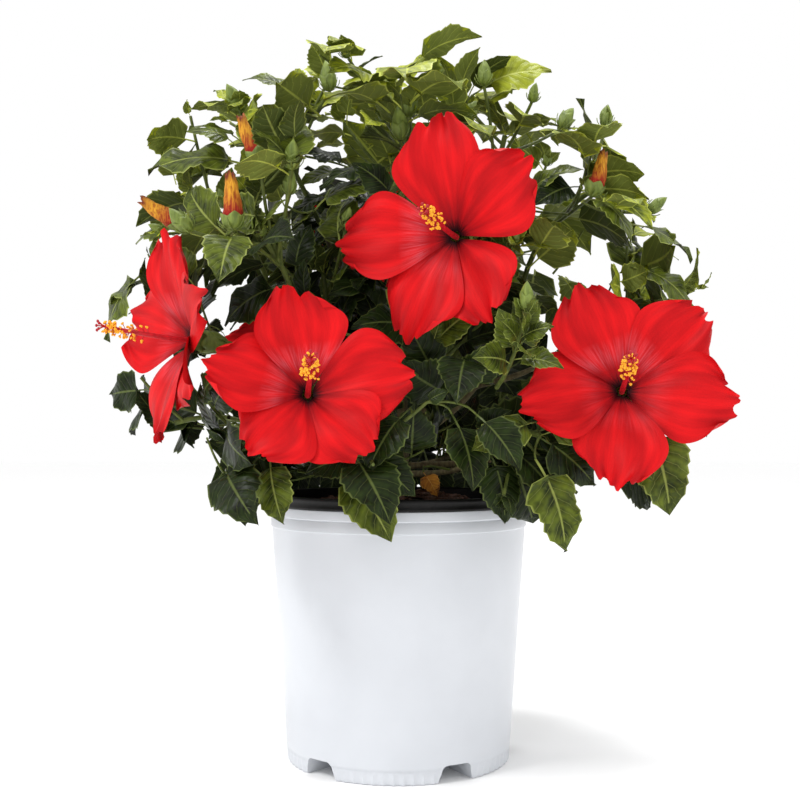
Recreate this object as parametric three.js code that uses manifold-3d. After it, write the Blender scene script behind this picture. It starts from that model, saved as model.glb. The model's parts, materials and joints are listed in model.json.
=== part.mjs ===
// Potted hibiscus shrub in flower. Millimetres, +Z up, the pot's underside on z = 0 and its axis on Z.
// The front of the plant faces -Y. Bearings are degrees in plan, counter-clockwise from +X.
import * as THREE from "three";
import { mergeVertices } from "three/addons/utils/BufferGeometryUtils.js";
import Module from "manifold-3d";

const wasm = await Module();
wasm.setup();

// ---------------------------------------------------------------- driving dimensions

const GAP = 0.3; // clearance between pieces that touch

const POT = {
  height: 226, // over the rim
  wallTop: 216, // where the white wall meets the black rim
  footRadius: 94.5,
  topRadius: 109.5,
  rimRadius: 111,
  wall: 2.2,
  lip: 2, // how far the rim's skirt stands inside the wall
  skirt: 8,
  floor: 3,
  collar: 17, // height of the thicker band under the rim
  collarStep: 0.8,
  sides: 32,
  notches: 5, // drainage arches round the foot
  notchHeight: 14.5,
  notchWidth: 31,
  notchDepth: 38,
  notchBearing: -60.5,
};

const SOIL = { edge: 213, crown: 218, crownRadius: 34 };

const TRUNK = { height: 70, flare: 15, foot: 10.5, top: 6.5, lean: 4 };

// Limbs: each leaves the limb it stands on at a share of that limb's length and runs to a point
// stated as bearing, distance from the pot's axis and height. Its ends are the radii at its base and tip.
const LIMBS = [
  { name: "bough_top_front", on: "trunk", at: 0.93, to: [-80, 34, 440], ends: [4.8, 2.6], bow: 0.2 },
  { name: "bough_left", on: "trunk", at: 0.8, to: [178, 112, 404], ends: [4.4, 2.3], bow: 0.75 },
  { name: "bough_right", on: "trunk", at: 0.72, to: [2, 108, 408], ends: [4.4, 2.3], bow: 0.75 },
  { name: "bough_back_left", on: "trunk", at: 0.74, to: [128, 118, 388], ends: [4.0, 2.2], bow: 0.75 },
  { name: "bough_back_right", on: "trunk", at: 0.66, to: [52, 118, 386], ends: [4.0, 2.2], bow: 0.75 },
  { name: "bough_front", on: "trunk", at: 0.7, to: [-66, 62, 286], ends: [3.6, 2.1], bow: 0.7 },
  { name: "bough_inner_left", on: "trunk", at: 0.88, to: [-150, 46, 330], ends: [3.4, 2.1], bow: 0.6 },
  { name: "bough_inner_right", on: "trunk", at: 0.84, to: [-26, 52, 340], ends: [3.4, 2.1], bow: 0.6 },
  { name: "bough_top_left", on: "bough_top_front", at: 0.42, to: [188, 66, 452], ends: [3.2, 2.1], bow: 0.6 },
  { name: "bough_top_right", on: "bough_top_front", at: 0.55, to: [2, 66, 458], ends: [3.0, 2.1], bow: 0.6 },
  { name: "bough_top_back", on: "bough_top_front", at: 0.3, to: [92, 66, 446], ends: [3.2, 2.1], bow: 0.6 },
  { name: "bough_front_left", on: "bough_left", at: 0.36, to: [218, 104, 376], ends: [3.2, 2.0], bow: 0.7 },
  { name: "bough_mid_left", on: "bough_left", at: 0.46, to: [192, 128, 338], ends: [2.9, 2.0], bow: 0.7 },
  { name: "bough_mid_right", on: "bough_right", at: 0.45, to: [-4, 136, 346], ends: [2.9, 2.0], bow: 0.7 },
  { name: "bough_mid_back", on: "bough_back_left", at: 0.3, to: [93, 124, 330], ends: [3.0, 2.0], bow: 0.7 },
  { name: "bough_low_front_left", on: "trunk", at: 0.42, to: [-137, 92, 256], ends: [3.2, 2.0], bow: 0.9 },
  { name: "bough_low_front", on: "trunk", at: 0.5, to: [-100, 88, 252], ends: [3.0, 2.0], bow: 0.9 },
  { name: "bough_low_front_right", on: "trunk", at: 0.34, to: [-50, 94, 256], ends: [3.2, 2.0], bow: 0.9 },
  { name: "bough_low_left", on: "trunk", at: 0.36, to: [176, 112, 266], ends: [3.2, 2.0], bow: 0.9 },
  { name: "bough_low_right", on: "trunk", at: 0.44, to: [-4, 112, 266], ends: [3.2, 2.0], bow: 0.9 },
  { name: "bough_low_back_left", on: "trunk", at: 0.34, to: [122, 112, 268], ends: [3.2, 2.0], bow: 0.9 },
  { name: "bough_low_back_right", on: "trunk", at: 0.42, to: [58, 112, 268], ends: [3.2, 2.0], bow: 0.9 },
];

// Masses of foliage: each grows from the bough of its name towards its heart, which also rules its space.
// shoots is how many grow by the rule, spread their angle about the stem, turn the first one's bearing.
const MASSES = [
  { name: "top_front", heart: [-80, 50, 536], shoots: 4, spread: 58, turn: 20, seed: 41 },
  { name: "top_left", heart: [186, 106, 532], shoots: 3, spread: 56, turn: 150, seed: 12 },
  { name: "top_right", heart: [2, 92, 534], shoots: 3, spread: 56, turn: 40, seed: 13 },
  { name: "top_back", heart: [94, 96, 530], shoots: 3, spread: 56, turn: 70, seed: 14 },
  { name: "left", heart: [178, 176, 482], shoots: 3, spread: 54, turn: 120, seed: 15 },
  { name: "right", heart: [-6, 166, 484], shoots: 3, spread: 54, turn: 10, seed: 16 },
  { name: "back_left", heart: [130, 176, 462], shoots: 4, spread: 54, turn: 0, seed: 17 },
  { name: "back_right", heart: [50, 176, 462], shoots: 3, spread: 54, turn: 60, seed: 18 },
  { name: "front_left", heart: [220, 140, 432], shoots: 3, spread: 50, turn: 200, seed: 19 },
  { name: "inner_left", heart: [-150, 72, 410], shoots: 4, spread: 60, turn: 60, seed: 31 },
  { name: "inner_right", heart: [-24, 84, 414], shoots: 4, spread: 60, turn: 15, seed: 32 },
  { name: "front", heart: [-76, 108, 344], shoots: 5, spread: 66, turn: 90, seed: 20 },
  { name: "mid_left", heart: [180, 196, 382], shoots: 3, spread: 56, turn: 30, seed: 21 },
  { name: "mid_right", heart: [4, 206, 392], shoots: 3, spread: 56, turn: 0, seed: 22 },
  { name: "mid_back", heart: [90, 198, 366], shoots: 4, spread: 56, turn: 45, seed: 23 },
  { name: "low_front_left", heart: [-142, 166, 276], shoots: 3, spread: 56, turn: 0, seed: 24 },
  { name: "low_front", heart: [-100, 148, 274], shoots: 4, spread: 60, turn: 30, seed: 30 },
  { name: "low_front_right", heart: [-48, 162, 276], shoots: 4, spread: 56, turn: 45, seed: 25 },
  { name: "low_left", heart: [178, 194, 286], shoots: 3, spread: 56, turn: 20, seed: 26 },
  { name: "low_right", heart: [-4, 194, 286], shoots: 3, spread: 56, turn: 60, seed: 27 },
  { name: "low_back_left", heart: [124, 186, 286], shoots: 3, spread: 56, turn: 10, seed: 28 },
  { name: "low_back_right", heart: [56, 186, 286], shoots: 3, spread: 56, turn: 50, seed: 29 },
];

// Shoots that end in a bud: the bud's foot in the part's frame, its bearing and rise, its length.
const BUDDED = [
  { mass: "top_left", foot: [-57, -34, 562], points: [170, 80], length: 27 },
  { mass: "top_front", foot: [2, -66, 514], points: [180, 86], length: 28 },
  { mass: "top_right", foot: [72, -22, 570], points: [60, 80], length: 24 },
  { mass: "front_left", foot: [-106, -112, 485], points: [180, 68], length: 33 },
  { mass: "left", foot: [-172, -56, 446], points: [182, 28], length: 36 },
  { mass: "front_left", foot: [-86, -86, 466], points: [100, 84], length: 22 },
  { mass: "front_left", foot: [-124, -134, 430], points: [170, 84], length: 36 },
  { mass: "right", foot: [154, -78, 466], points: [20, 72], length: 32 },
];

// Blooms: the throat in the part's frame, where it faces (bearing, rise), the limb that bears it,
// and each petal's turn about its axis, counter-clockwise from the right as one looks into it, and its reach.
const BLOOMS = [
  {
    name: "bloom_top", throat: [38, -128, 430], faces: [-110, 3], limb: "bough_top_front", at: 0.62,
    petals: [[98, 95], [37, 84], [298, 80], [250, 90], [184, 92]],
  },
  {
    name: "bloom_low_left", throat: [-66, -158, 311], faces: [-84, 15],
    limb: "bough_low_front_left", at: 0.62,
    petals: [[100, 80], [8, 80], [312, 68], [228, 67], [166, 79]],
  },
  {
    name: "bloom_right", throat: [171, -128, 314], faces: [-95, 13], limb: "bough_low_front_right", at: 0.75,
    petals: [[112, 88], [42, 88], [350, 86], [262, 82], [193, 82]],
  },
  {
    name: "bloom_left", throat: [-178, -90, 352], faces: [-150, 3], limb: "bough_mid_left", at: 0.7,
    petals: [[88, 86], [22, 80], [318, 78], [262, 84], [166, 80]],
  },
  {
    name: "bloom_back_high", throat: [-14, 172, 470], faces: [94, 14], limb: "bough_back_right", at: 0.72,
    petals: [[90, 88], [18, 84], [306, 82], [234, 86], [162, 84]],
  },
  {
    name: "bloom_back_low", throat: [-96, 196, 352], faces: [112, 8], limb: "bough_mid_back", at: 0.7,
    petals: [[80, 84], [8, 82], [300, 80], [228, 86], [150, 84]],
  },
];

const PETAL = { length: 88, halfWidth: 39, thick: 2, tilt: 5, across: 2, along: 3, throat: 20, reach: 5 };
const COLUMN = { length: 57, foot: 3.2, tip: 4.6 };
const CALYX = { length: 26, mouth: 9, foot: 3.4 };
const FLOWER_STALK = { radius: 2.1, sides: 4, steps: 4 };

const STEM = { tip: 2.3, sides: 4, steps: 2, nodes: 3, bare: 0.35, budded: 0.55 };
const SHOOT = {
  foot: 1.5,
  tip: 1.3,
  length: 66,
  nodes: 4,
  bare: 0.32,
  sides: 3,
  steps: 1,
};
const BUDDED_SHOOT = { nodes: 3, bare: 0.5, steps: 1 };
const LEAF = { longest: 94, shortest: 58, width: 0.29, thick: 0.028, divergence: 144, roll: 42, skyward: 0.2 };
const CLEAR = { cell: 0.5, limb: 3.2, bloom: 8, pot: 3, leaf: 3.6, shoot: 3.5, bud: 9 };
// The outline that no leaf leaves, and the centre that leaves turn their faces away from.
const CROWN = { reach: 263, waist: 340, rise: 276, power: 2.2, hang: 242, eaves: 150, lift: 46, centre: 300 };
// Where the crown's skirt hangs lower, over the pot's rim: its bearing, half its width, how low it hangs.
const SKIRTS = [
  [-129, 14, 214],
  [-99, 9, 206],
  [-58, 7, 222],
  [-43, 9, 196],
  [-15, 12, 214],
  [58, 12, 212],
  [98, 10, 208],
  [140, 12, 216],
];

// ---------------------------------------------------------------- small helpers

const V = (x, y, z) => new THREE.Vector3(x, y, z);
const UP = V(0, 0, 1);
const rad = THREE.MathUtils.degToRad;
const lerp = THREE.MathUtils.lerp;
const smooth = (t) => t * t * (3 - 2 * t);
const polar = (bearing, reach, height) => V(reach, 0, height).applyAxisAngle(UP, rad(bearing));
const heading = (bearing, rise) => polar(bearing, Math.cos(rad(rise)), Math.sin(rad(rise)));
const along = (direction, distance) => direction.clone().multiplyScalar(distance);

// A plain repeatable stream of numbers from 0 to 1.
function stream(seed) {
  let state = (seed * 2654435761) % 4294967296;
  return () => {
    state = (state * 1664525 + 1013904223) % 4294967296;
    return state / 4294967296;
  };
}

// A closed geometry as a solid.
function solid(geometry) {
  const bare = new THREE.BufferGeometry().setAttribute("position", geometry.getAttribute("position"));
  bare.setIndex(geometry.index);
  const merged = mergeVertices(bare, 1e-4);
  return new wasm.Manifold(
    new wasm.Mesh({
      numProp: 3,
      vertProperties: merged.attributes.position.array,
      triVerts: merged.index.array,
    }),
  );
}

// All of them joined, with sealed hollows filled and loose scraps dropped.
function fuse(solids) {
  const joined = solids.reduce((whole, next) => whole.add(next));
  const pieces = joined.decompose().filter((piece) => piece.volume() > 0);
  return pieces.sort((a, b) => b.volume() - a.volume())[0];
}

// Moves every point of a geometry by a function.
function shaped(geometry, place) {
  const position = geometry.getAttribute("position");
  const point = V(0, 0, 0);
  for (let i = 0; i < position.count; i++) {
    point.fromBufferAttribute(position, i);
    position.setXYZ(i, ...place(point).toArray());
  }
  return geometry;
}

// A tapering rod along a curve: a closed cylinder whose rings are laid on the curve's frames.
function rod(curve, radiusAt, sides, steps) {
  const frames = curve.computeFrenetFrames(steps);
  return shaped(new THREE.CylinderGeometry(1, 1, 1, sides, steps), ({ x, y, z }) => {
    const ring = Math.round((y + 0.5) * steps);
    const share = ring / steps;
    const radius = radiusAt(share);
    return curve
      .getPointAt(share)
      .addScaledVector(frames.normals[ring], x * radius)
      .addScaledVector(frames.binormals[ring], -z * radius);
  });
}

// The point at a share of a rod laid in so many steps: on its straight runs, not on the curve itself.
function onRod(curve, steps, share) {
  const step = Math.min(steps - 1, Math.floor(share * steps + 1e-9));
  return curve.getPointAt(step / steps).lerp(curve.getPointAt((step + 1) / steps), share * steps - step);
}

// ---------------------------------------------------------------- pot and soil

function lathe(profile, sides) {
  const points = profile.map(([r, z]) => new THREE.Vector2(r, z));
  return new THREE.LatheGeometry(points, sides);
}
const turn = (profile) => solid(lathe(profile, POT.sides).rotateX(Math.PI / 2));

const wallRadius = (z) => lerp(POT.footRadius, POT.topRadius, z / POT.wallTop);

// A block that lies along +X from one radius to another, its top narrower than its foot, turned to a bearing.
function radialBlock(from, to, halfFoot, halfTop, low, high, bearing) {
  const block = new THREE.BoxGeometry(to - from, 2, 1).translate((from + to) / 2, 0, 0.5);
  shaped(block, ({ x, y, z }) => V(x, y * lerp(halfFoot, halfTop, z), lerp(low, high, z)));
  return solid(block.rotateZ(rad(bearing)));
}

const notchSpacing = 360 / POT.notches;
const notchBearings = Array.from({ length: POT.notches }, (_, i) => POT.notchBearing + notchSpacing * i);

// The roof and walls over each drainage arch, as they stand up inside the pot; grown by a clearance.
function hoods(grow) {
  const inner = POT.footRadius - POT.notchDepth - POT.wall;
  const half = POT.notchWidth / 2 + POT.wall + grow;
  const top = POT.notchHeight + POT.wall + grow;
  const outer = POT.footRadius - 0.5;
  return notchBearings.map((b) => radialBlock(inner - grow, outer, half, half - 4, 0.5, top, b));
}

function potWall() {
  const { wallTop, wall, floor, collar, collarStep, footRadius, topRadius } = POT;
  const shell = turn([
    [0, 0],
    [footRadius - 1.5, 0],
    [footRadius, 1.5],
    [wallRadius(wallTop - collar) - 0.2, wallTop - collar - 1],
    [wallRadius(wallTop - collar) + collarStep, wallTop - collar],
    [topRadius, wallTop],
    [topRadius - wall, wallTop],
    [wallRadius(floor) - wall, floor],
    [0, floor],
  ]);
  const back = footRadius - POT.notchDepth;
  const half = POT.notchWidth / 2;
  const arches = notchBearings.map((b) =>
    radialBlock(back, footRadius + 9, half, half - 4, -1, POT.notchHeight, b),
  );
  const drains = notchBearings.map((b) => radialBlock(back - 6, back + 2, 5, 4, 3.5, POT.notchHeight - 2, b));
  let pot = fuse([shell, ...hoods(0)]);
  for (const cut of [...arches, ...drains]) pot = pot.subtract(cut);
  return pot;
}

const rimInner = () => POT.topRadius - POT.wall - POT.lip;

function potRim() {
  const { wallTop, height, rimRadius, topRadius, wall, skirt } = POT;
  const inner = rimInner();
  return turn([
    [inner, wallTop - skirt],
    [wallRadius(wallTop - skirt) - wall - GAP, wallTop - skirt],
    [topRadius - wall - GAP, wallTop + GAP],
    [rimRadius, wallTop + GAP],
    [rimRadius, height - 2],
    [rimRadius - 1.6, height],
    [inner, height],
    [inner, wallTop - skirt],
  ]);
}

function pottingMix() {
  const low = POT.floor + GAP;
  const inside = (z) => wallRadius(z) - POT.wall - GAP - 0.2;
  const neck = POT.wallTop - POT.skirt - GAP;
  const mix = turn([
    [0, low],
    [inside(low) - 0.3, low],
    [inside(neck), neck],
    [rimInner() - GAP, neck],
    [rimInner() - GAP, SOIL.edge],
    [SOIL.crownRadius, SOIL.crown],
    [0, SOIL.crown],
  ]);
  return hoods(GAP + 0.1).reduce((rest, hood) => rest.subtract(hood), mix);
}

// ---------------------------------------------------------------- trunk and boughs

const trunkFoot = SOIL.crown + GAP;
const trunkCurve = new THREE.QuadraticBezierCurve3(
  V(0, 0, trunkFoot),
  V(0, 0, trunkFoot + TRUNK.height * 0.5),
  V(TRUNK.lean, -TRUNK.lean * 0.5, trunkFoot + TRUNK.height),
);
const rootFlare = (t) => (TRUNK.flare - TRUNK.foot) * Math.max(0, 1 - t / 0.16) ** 2;
const trunkRadius = (t) => lerp(TRUNK.foot, TRUNK.top, t) + rootFlare(t);

const limbs = new Map([["trunk", { curve: trunkCurve, radiusAt: trunkRadius, sides: 10, steps: 8 }]]);

// A limb leaves its parent's axis outwards and bows up to its tip.
for (const { name, on, at, to, ends, bow } of LIMBS) {
  const start = limbs.get(on).curve.getPointAt(at);
  const end = polar(...to);
  const elbow = V(lerp(start.x, end.x, bow), lerp(start.y, end.y, bow), lerp(start.z, end.z, 1 - bow));
  const curve = new THREE.QuadraticBezierCurve3(start, elbow, end);
  const collar = (t) => ends[0] * 0.35 * Math.max(0, 1 - t / 0.12) ** 2;
  const radiusAt = (t) => lerp(ends[0], ends[1], t) + collar(t);
  limbs.set(name, { curve, radiusAt, sides: 4, steps: 3 });
}

const limbSolid = ({ curve, radiusAt, sides, steps }, grow = 0) =>
  solid(rod(curve, (t) => radiusAt(t) + grow, sides, steps));
const limbSamples = [...limbs].flatMap(([name, { curve, radiusAt, steps }]) =>
  Array.from({ length: 41 }, (_, i) => {
    return { name, point: onRod(curve, steps, i / 40), radius: radiusAt(i / 40) };
  }),
);

// ---------------------------------------------------------------- the room that each piece keeps to

const hearts = new Map(MASSES.map(({ name, heart }) => [name, polar(...heart)]));

// A bloom's axes: out of its face, to its right and up its face.
const bloomAxes = new Map(
  BLOOMS.map(({ name, throat, faces }) => {
    const out = heading(...faces);
    const right = new THREE.Vector3().crossVectors(UP, out).normalize();
    return [name, { throat: V(...throat), out, right, up: new THREE.Vector3().crossVectors(out, right) }];
  }),
);

// How far a petal's back lies along the bloom's axis, at a distance from that axis.
function petalDepth(s) {
  const { throat, reach } = PETAL;
  return -throat + throat * 3.1 * s - (throat * 2.1 - reach) * s * s;
}

function inBloomRoom(point, margin) {
  for (const { throat, out } of bloomAxes.values()) {
    const from = point.clone().sub(throat);
    const depth = from.dot(out);
    const reach = from.addScaledVector(out, -depth).length();
    const share = Math.min(1, reach / PETAL.length);
    if (reach < PETAL.length + margin && depth > petalDepth(share) - margin && depth < 150) return true;
    const foot = -PETAL.throat - CALYX.length;
    if (reach < CALYX.mouth + margin && depth > foot - margin && depth < 0) return true;
  }
  return false;
}

const nearStalk = (point, margin) => stalkSamples.some((s) => s.point.distanceTo(point) < s.radius + margin);

function nearLimb(point, margin, except) {
  return limbSamples.some((s) => s.name !== except && s.point.distanceTo(point) < s.radius + margin);
}

function inCell(mass, point) {
  const own = point.distanceTo(hearts.get(mass.name));
  for (const [name, heart] of hearts) {
    if (name === mass.name) continue;
    const apart = heart.distanceTo(hearts.get(mass.name));
    const other = point.distanceTo(heart);
    if ((other * other - own * own) / (2 * apart) < CLEAR.cell) return false;
  }
  return true;
}

function inPot(point, margin) {
  return point.z < POT.height + margin && Math.hypot(point.x, point.y) < POT.rimRadius + margin;
}

function inCrown({ x, y, z }) {
  const reach = Math.hypot(x, y);
  const out = (reach / CROWN.reach) ** CROWN.power;
  const eaves = Math.max(0, (reach - CROWN.eaves) / (CROWN.reach - CROWN.eaves));
  const bearing = THREE.MathUtils.radToDeg(Math.atan2(y, x));
  const skirt = SKIRTS.find(([middle, half]) => Math.abs(bearing - middle) < half);
  const underside = skirt ? skirt[2] : CROWN.hang + CROWN.lift * eaves ** 1.5;
  return z > underside && out + (Math.max(0, z - CROWN.waist) / CROWN.rise) ** CROWN.power < 1;
}

function hasRoom(mass, points) {
  return points.every(
    (p) =>
      inCell(mass, p) &&
      inCrown(p) &&
      !inPot(p, CLEAR.pot) &&
      !inBloomRoom(p, CLEAR.bloom) &&
      !nearLimb(p, CLEAR.limb) &&
      !nearStalk(p, CLEAR.limb),
  );
}

// ---------------------------------------------------------------- blooms

const stalks = new Map(
  BLOOMS.map(({ name, limb, at }) => {
    const { throat, out } = bloomAxes.get(name);
    const start = limbs.get(limb).curve.getPointAt(at);
    const end = throat.clone().addScaledVector(out, -PETAL.throat - CALYX.length + 3);
    const span = start.distanceTo(end);
    const curve = new THREE.CubicBezierCurve3(
      start,
      start.clone().lerp(end, 0.3).addScaledVector(UP, span * 0.12),
      end.clone().addScaledVector(out, -span * 0.35),
      end,
    );
    return [name, curve];
  }),
);
const stalkSamples = [...stalks].flatMap(([, curve]) =>
  Array.from({ length: 31 }, (_, i) => {
    return { point: onRod(curve, FLOWER_STALK.steps, i / 30), radius: FLOWER_STALK.radius };
  }),
);

// A thin closed slab laid on a grid: place(w, s, k) with w across from -1 to 1, s along from 0 to 1,
// k 0 at the back and 1 at the front. Both faces are split along the same diagonals.
function slabGeometry(across, steps, place) {
  const points = [];
  const at = (i, j, k) => (j * (across + 1) + i) * 2 + k;
  for (let j = 0; j <= steps; j++)
    for (let i = 0; i <= across; i++)
      for (const k of [0, 1]) points.push(place((2 * i) / across - 1, j / steps, k));
  const faces = [];
  for (let j = 0; j < steps; j++)
    for (let i = 0; i < across; i++) {
      const [a, b, c, d] = [[i, j], [i + 1, j], [i + 1, j + 1], [i, j + 1]];
      faces.push(at(...a, 1), at(...b, 1), at(...c, 1), at(...a, 1), at(...c, 1), at(...d, 1));
      faces.push(at(...a, 0), at(...c, 0), at(...b, 0), at(...a, 0), at(...d, 0), at(...c, 0));
    }
  const rim = [
    ...Array.from({ length: across }, (_, i) => [i, 0]),
    ...Array.from({ length: steps }, (_, j) => [across, j]),
    ...Array.from({ length: across }, (_, i) => [across - i, steps]),
    ...Array.from({ length: steps }, (_, j) => [0, steps - j]),
  ];
  rim.forEach((p, n) => {
    const q = rim[(n + 1) % rim.length];
    faces.push(at(...p, 0), at(...q, 0), at(...q, 1), at(...p, 0), at(...q, 1), at(...p, 1));
  });
  const geometry = new THREE.BufferGeometry().setFromPoints(points);
  geometry.setIndex(faces);
  return geometry;
}

// A petal spreads from its claw in the throat to its rim. gaps are the angles to its two neighbours,
// which set how far each of its sides spreads. Each petal lies over the next one round.
function petal(axes, [angle, length], gaps) {
  const { throat, out, right, up } = axes;
  const ray = along(right, Math.cos(rad(angle))).addScaledVector(up, Math.sin(rad(angle)));
  const side = new THREE.Vector3().crossVectors(ray, out);
  return slabGeometry(PETAL.across, PETAL.along, (w, s, k) => {
    const spread = PETAL.halfWidth * THREE.MathUtils.clamp((w > 0 ? gaps[0] : gaps[1]) / 72, 0.9, 1.08);
    const opened = Math.sin(Math.min(1, s * 1.7) * 0.5 * Math.PI);
    const half = lerp(3, spread, opened) * (1 - 0.4 * s ** 7);
    const reach = lerp(4, length, s) - length * 0.16 * s * s * w * w;
    const radial = Math.min(1, Math.hypot(reach, half * w) / PETAL.length);
    const depth = petalDepth(radial) - PETAL.tilt * s * w + (k - 1) * PETAL.thick;
    const point = throat.clone().addScaledVector(ray, reach);
    return point.addScaledVector(side, half * w).addScaledVector(out, depth);
  });
}

// A spindle along a direction: a closed lathe of a few sides.
function spindle(foot, direction, profile, sides) {
  const turned = new THREE.Quaternion().setFromUnitVectors(V(0, 1, 0), direction);
  return lathe(profile, sides).applyQuaternion(turned).translate(...foot.toArray());
}

// The angles from petal i to its neighbours: clockwise, then counter-clockwise.
function petalGaps(petals, i) {
  const turn = (from, to) => THREE.MathUtils.euclideanModulo(to - from, 360);
  const own = petals[i][0];
  const others = petals.filter((_, j) => j !== i).map(([angle]) => angle);
  const before = others.map((angle) => turn(angle, own));
  const after = others.map((angle) => turn(own, angle));
  return [Math.min(...before), Math.min(...after)];
}

function bloom(spec) {
  const axes = bloomAxes.get(spec.name);
  const { throat, out } = axes;
  const calyxFoot = throat.clone().addScaledVector(out, -PETAL.throat - CALYX.length);
  const columnFoot = throat.clone().addScaledVector(out, -PETAL.throat);
  const reach = PETAL.throat + COLUMN.length;
  const { foot, mouth, length } = CALYX;
  const calyx = [[0, 0], [foot, 0.5], [mouth, length * 0.6], [mouth * 0.7, length + 3], [0, length + 5]];
  const waist = COLUMN.foot * 0.7;
  const anthers = COLUMN.tip + 2;
  const shaft = [[0, 0], [COLUMN.foot, 1], [waist, reach * 0.6]];
  const column = [...shaft, [anthers, reach * 0.72], [COLUMN.tip, reach * 0.97], [0, reach]];
  const pieces = [
    spindle(calyxFoot, out, calyx, 5),
    spindle(columnFoot, out, column, 5),
    ...spec.petals.map((own, i) => petal(axes, own, petalGaps(spec.petals, i))),
    rod(stalks.get(spec.name), () => FLOWER_STALK.radius, FLOWER_STALK.sides, FLOWER_STALK.steps),
  ];
  return fuse(pieces.map(solid)).subtract(limbSolid(limbs.get(spec.limb), GAP));
}

// ---------------------------------------------------------------- masses of foliage

// A leaf: a thin root that widens to a kite-shaped blade, folded along its midrib, its tip bent down.
// Eight faces. The frame holds its root, the way it runs, its upper face's normal and its side.
function leafPoints({ root, run, face, side }, length) {
  const half = length * LEAF.width;
  const thick = length * LEAF.thick;
  const at = (y, x, z) =>
    root.clone().addScaledVector(run, y).addScaledVector(side, x).addScaledVector(face, z);
  return {
    root: at(0, 0, 0),
    left: at(length * 0.5, -half, length * 0.13),
    right: at(length * 0.5, half, length * 0.13),
    ridge: at(length * 0.56, 0, length * 0.09),
    keel: at(length * 0.34, 0, length * 0.055 - thick),
    tip: at(length * 0.97, 0, -length * 0.06),
  };
}

const LEAF_FACES = [
  "root ridge left",
  "root right ridge",
  "left ridge tip",
  "right tip ridge",
  "root left keel",
  "root keel right",
  "keel left tip",
  "keel tip right",
];

function leafGeometry(points) {
  const names = Object.keys(points);
  const geometry = new THREE.BufferGeometry().setFromPoints(Object.values(points));
  geometry.setIndex(LEAF_FACES.flatMap((face) => face.split(" ").map((name) => names.indexOf(name))));
  return geometry;
}

const LEAF_STALK_SAMPLES = 5; // the first samples lie on the stalk

// Points all over the blade and its stalk, to test that it has room.
function leafSamples({ root, left, right, ridge, tip }) {
  const samples = [];
  for (let i = 2; i <= 10; i++) {
    const t = i / 10;
    const through = (middle) =>
      t < 0.5 ? root.clone().lerp(middle, t / 0.5) : middle.clone().lerp(tip, (t - 0.5) / 0.5);
    const rib = through(ridge);
    samples.push(rib);
    for (const edge of [left, right]) {
      const rim = through(edge);
      samples.push(rim, rib.clone().lerp(rim, 0.5));
    }
  }
  return samples;
}

// Where a leaf at a share of its shoot runs, and which way its upper face looks: up and out of the crown.
function leafFrame(root, tangent, angle, opening, sag, roll) {
  const level = Math.abs(tangent.z) > 0.9 ? V(0, 1, 0) : UP;
  const across = new THREE.Vector3().crossVectors(tangent, level).normalize();
  const round = new THREE.Vector3().crossVectors(tangent, across);
  const ray = across.multiplyScalar(Math.cos(rad(angle))).addScaledVector(round, Math.sin(rad(angle)));
  const outward = root.clone().sub(V(0, 0, CROWN.centre)).normalize();
  const run = along(tangent, Math.cos(rad(opening))).addScaledVector(ray, Math.sin(rad(opening)));
  run.z -= sag;
  run.addScaledVector(outward, Math.max(0, 0.2 - run.dot(outward))).normalize();
  const face = outward.addScaledVector(UP, LEAF.skyward);
  face.addScaledVector(run, -face.dot(run)).normalize().applyAxisAngle(run, roll);
  const side = new THREE.Vector3().crossVectors(run, face);
  return { root: root.clone().addScaledVector(run, -0.3), run, face, side };
}

// Blades keep clear of one another all over the plant, and of every shoot and bud but their own.
const blades = [];
const shoots = [];
const nearest = V(0, 0, 0);

function crowded(blade, { root, left, right, ridge, tip }, own) {
  const facets = [[root, ridge, left], [root, right, ridge], [left, ridge, tip], [right, tip, ridge]].map(
    (corners) => new THREE.Triangle(...corners),
  );
  const meetsBlade = (other) => blade.some((p) => other.some((q) => q.distanceTo(p) < CLEAR.leaf));
  const away = (facet, p) => facet.closestPointToPoint(p, nearest).distanceTo(p);
  const meets = (points, clearance) => points.some((p) => facets.some((facet) => away(facet, p) < clearance));
  const meetsShoot = (shoot) => meets(shoot.points, CLEAR.shoot) || meets(shoot.budPoints, CLEAR.bud);
  return (
    blades.some((other) => other[0].distanceTo(blade[0]) < 130 && meetsBlade(other)) ||
    shoots.some((shoot) => shoot !== own && meetsShoot(shoot))
  );
}

// A leaf with no room is turned about its shoot, then made smaller, then left out.
const LEAF_TURNS = [0, 36, -36, 72, -72, 108, -108, 180];
const LEAF_TRIES = [1, 0.75].flatMap((share) => LEAF_TURNS.map((turned) => [turned, share]));

// Leaves stand round a shoot in a spiral, largest at its foot.
function growLeaves(mass, shoot, random, sagginess) {
  const { curve, steps, nodes, bare } = shoot;
  const leaves = [];
  const first = random() * 360;
  for (let i = 0; i < nodes; i++) {
    const place = lerp(bare, 0.94, i / (nodes - 1));
    const length = lerp(LEAF.longest, LEAF.shortest, smooth(i / (nodes - 1))) * (0.9 + 0.2 * random());
    const opening = lerp(84, 46, i / (nodes - 1)) + 12 * (random() - 0.5);
    const sag = sagginess * (0.6 + 0.5 * random()) * (1 - 0.4 * (i / nodes));
    const roll = rad(LEAF.roll) * (2 * random() - 1);
    const root = onRod(curve, steps, place);
    const tangent = curve.getTangentAt(place);
    for (const [turned, share] of LEAF_TRIES) {
      const angle = first + i * LEAF.divergence + turned;
      const points = leafPoints(leafFrame(root, tangent, angle, opening, sag, roll), length * share);
      const samples = leafSamples(points);
      const blade = samples.slice(LEAF_STALK_SAMPLES);
      if (!hasRoom(mass, samples) || crowded(blade, points, shoot)) continue;
      blades.push(blade);
      leaves.push(solid(leafGeometry(points)));
      break;
    }
  }
  return leaves;
}

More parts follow.
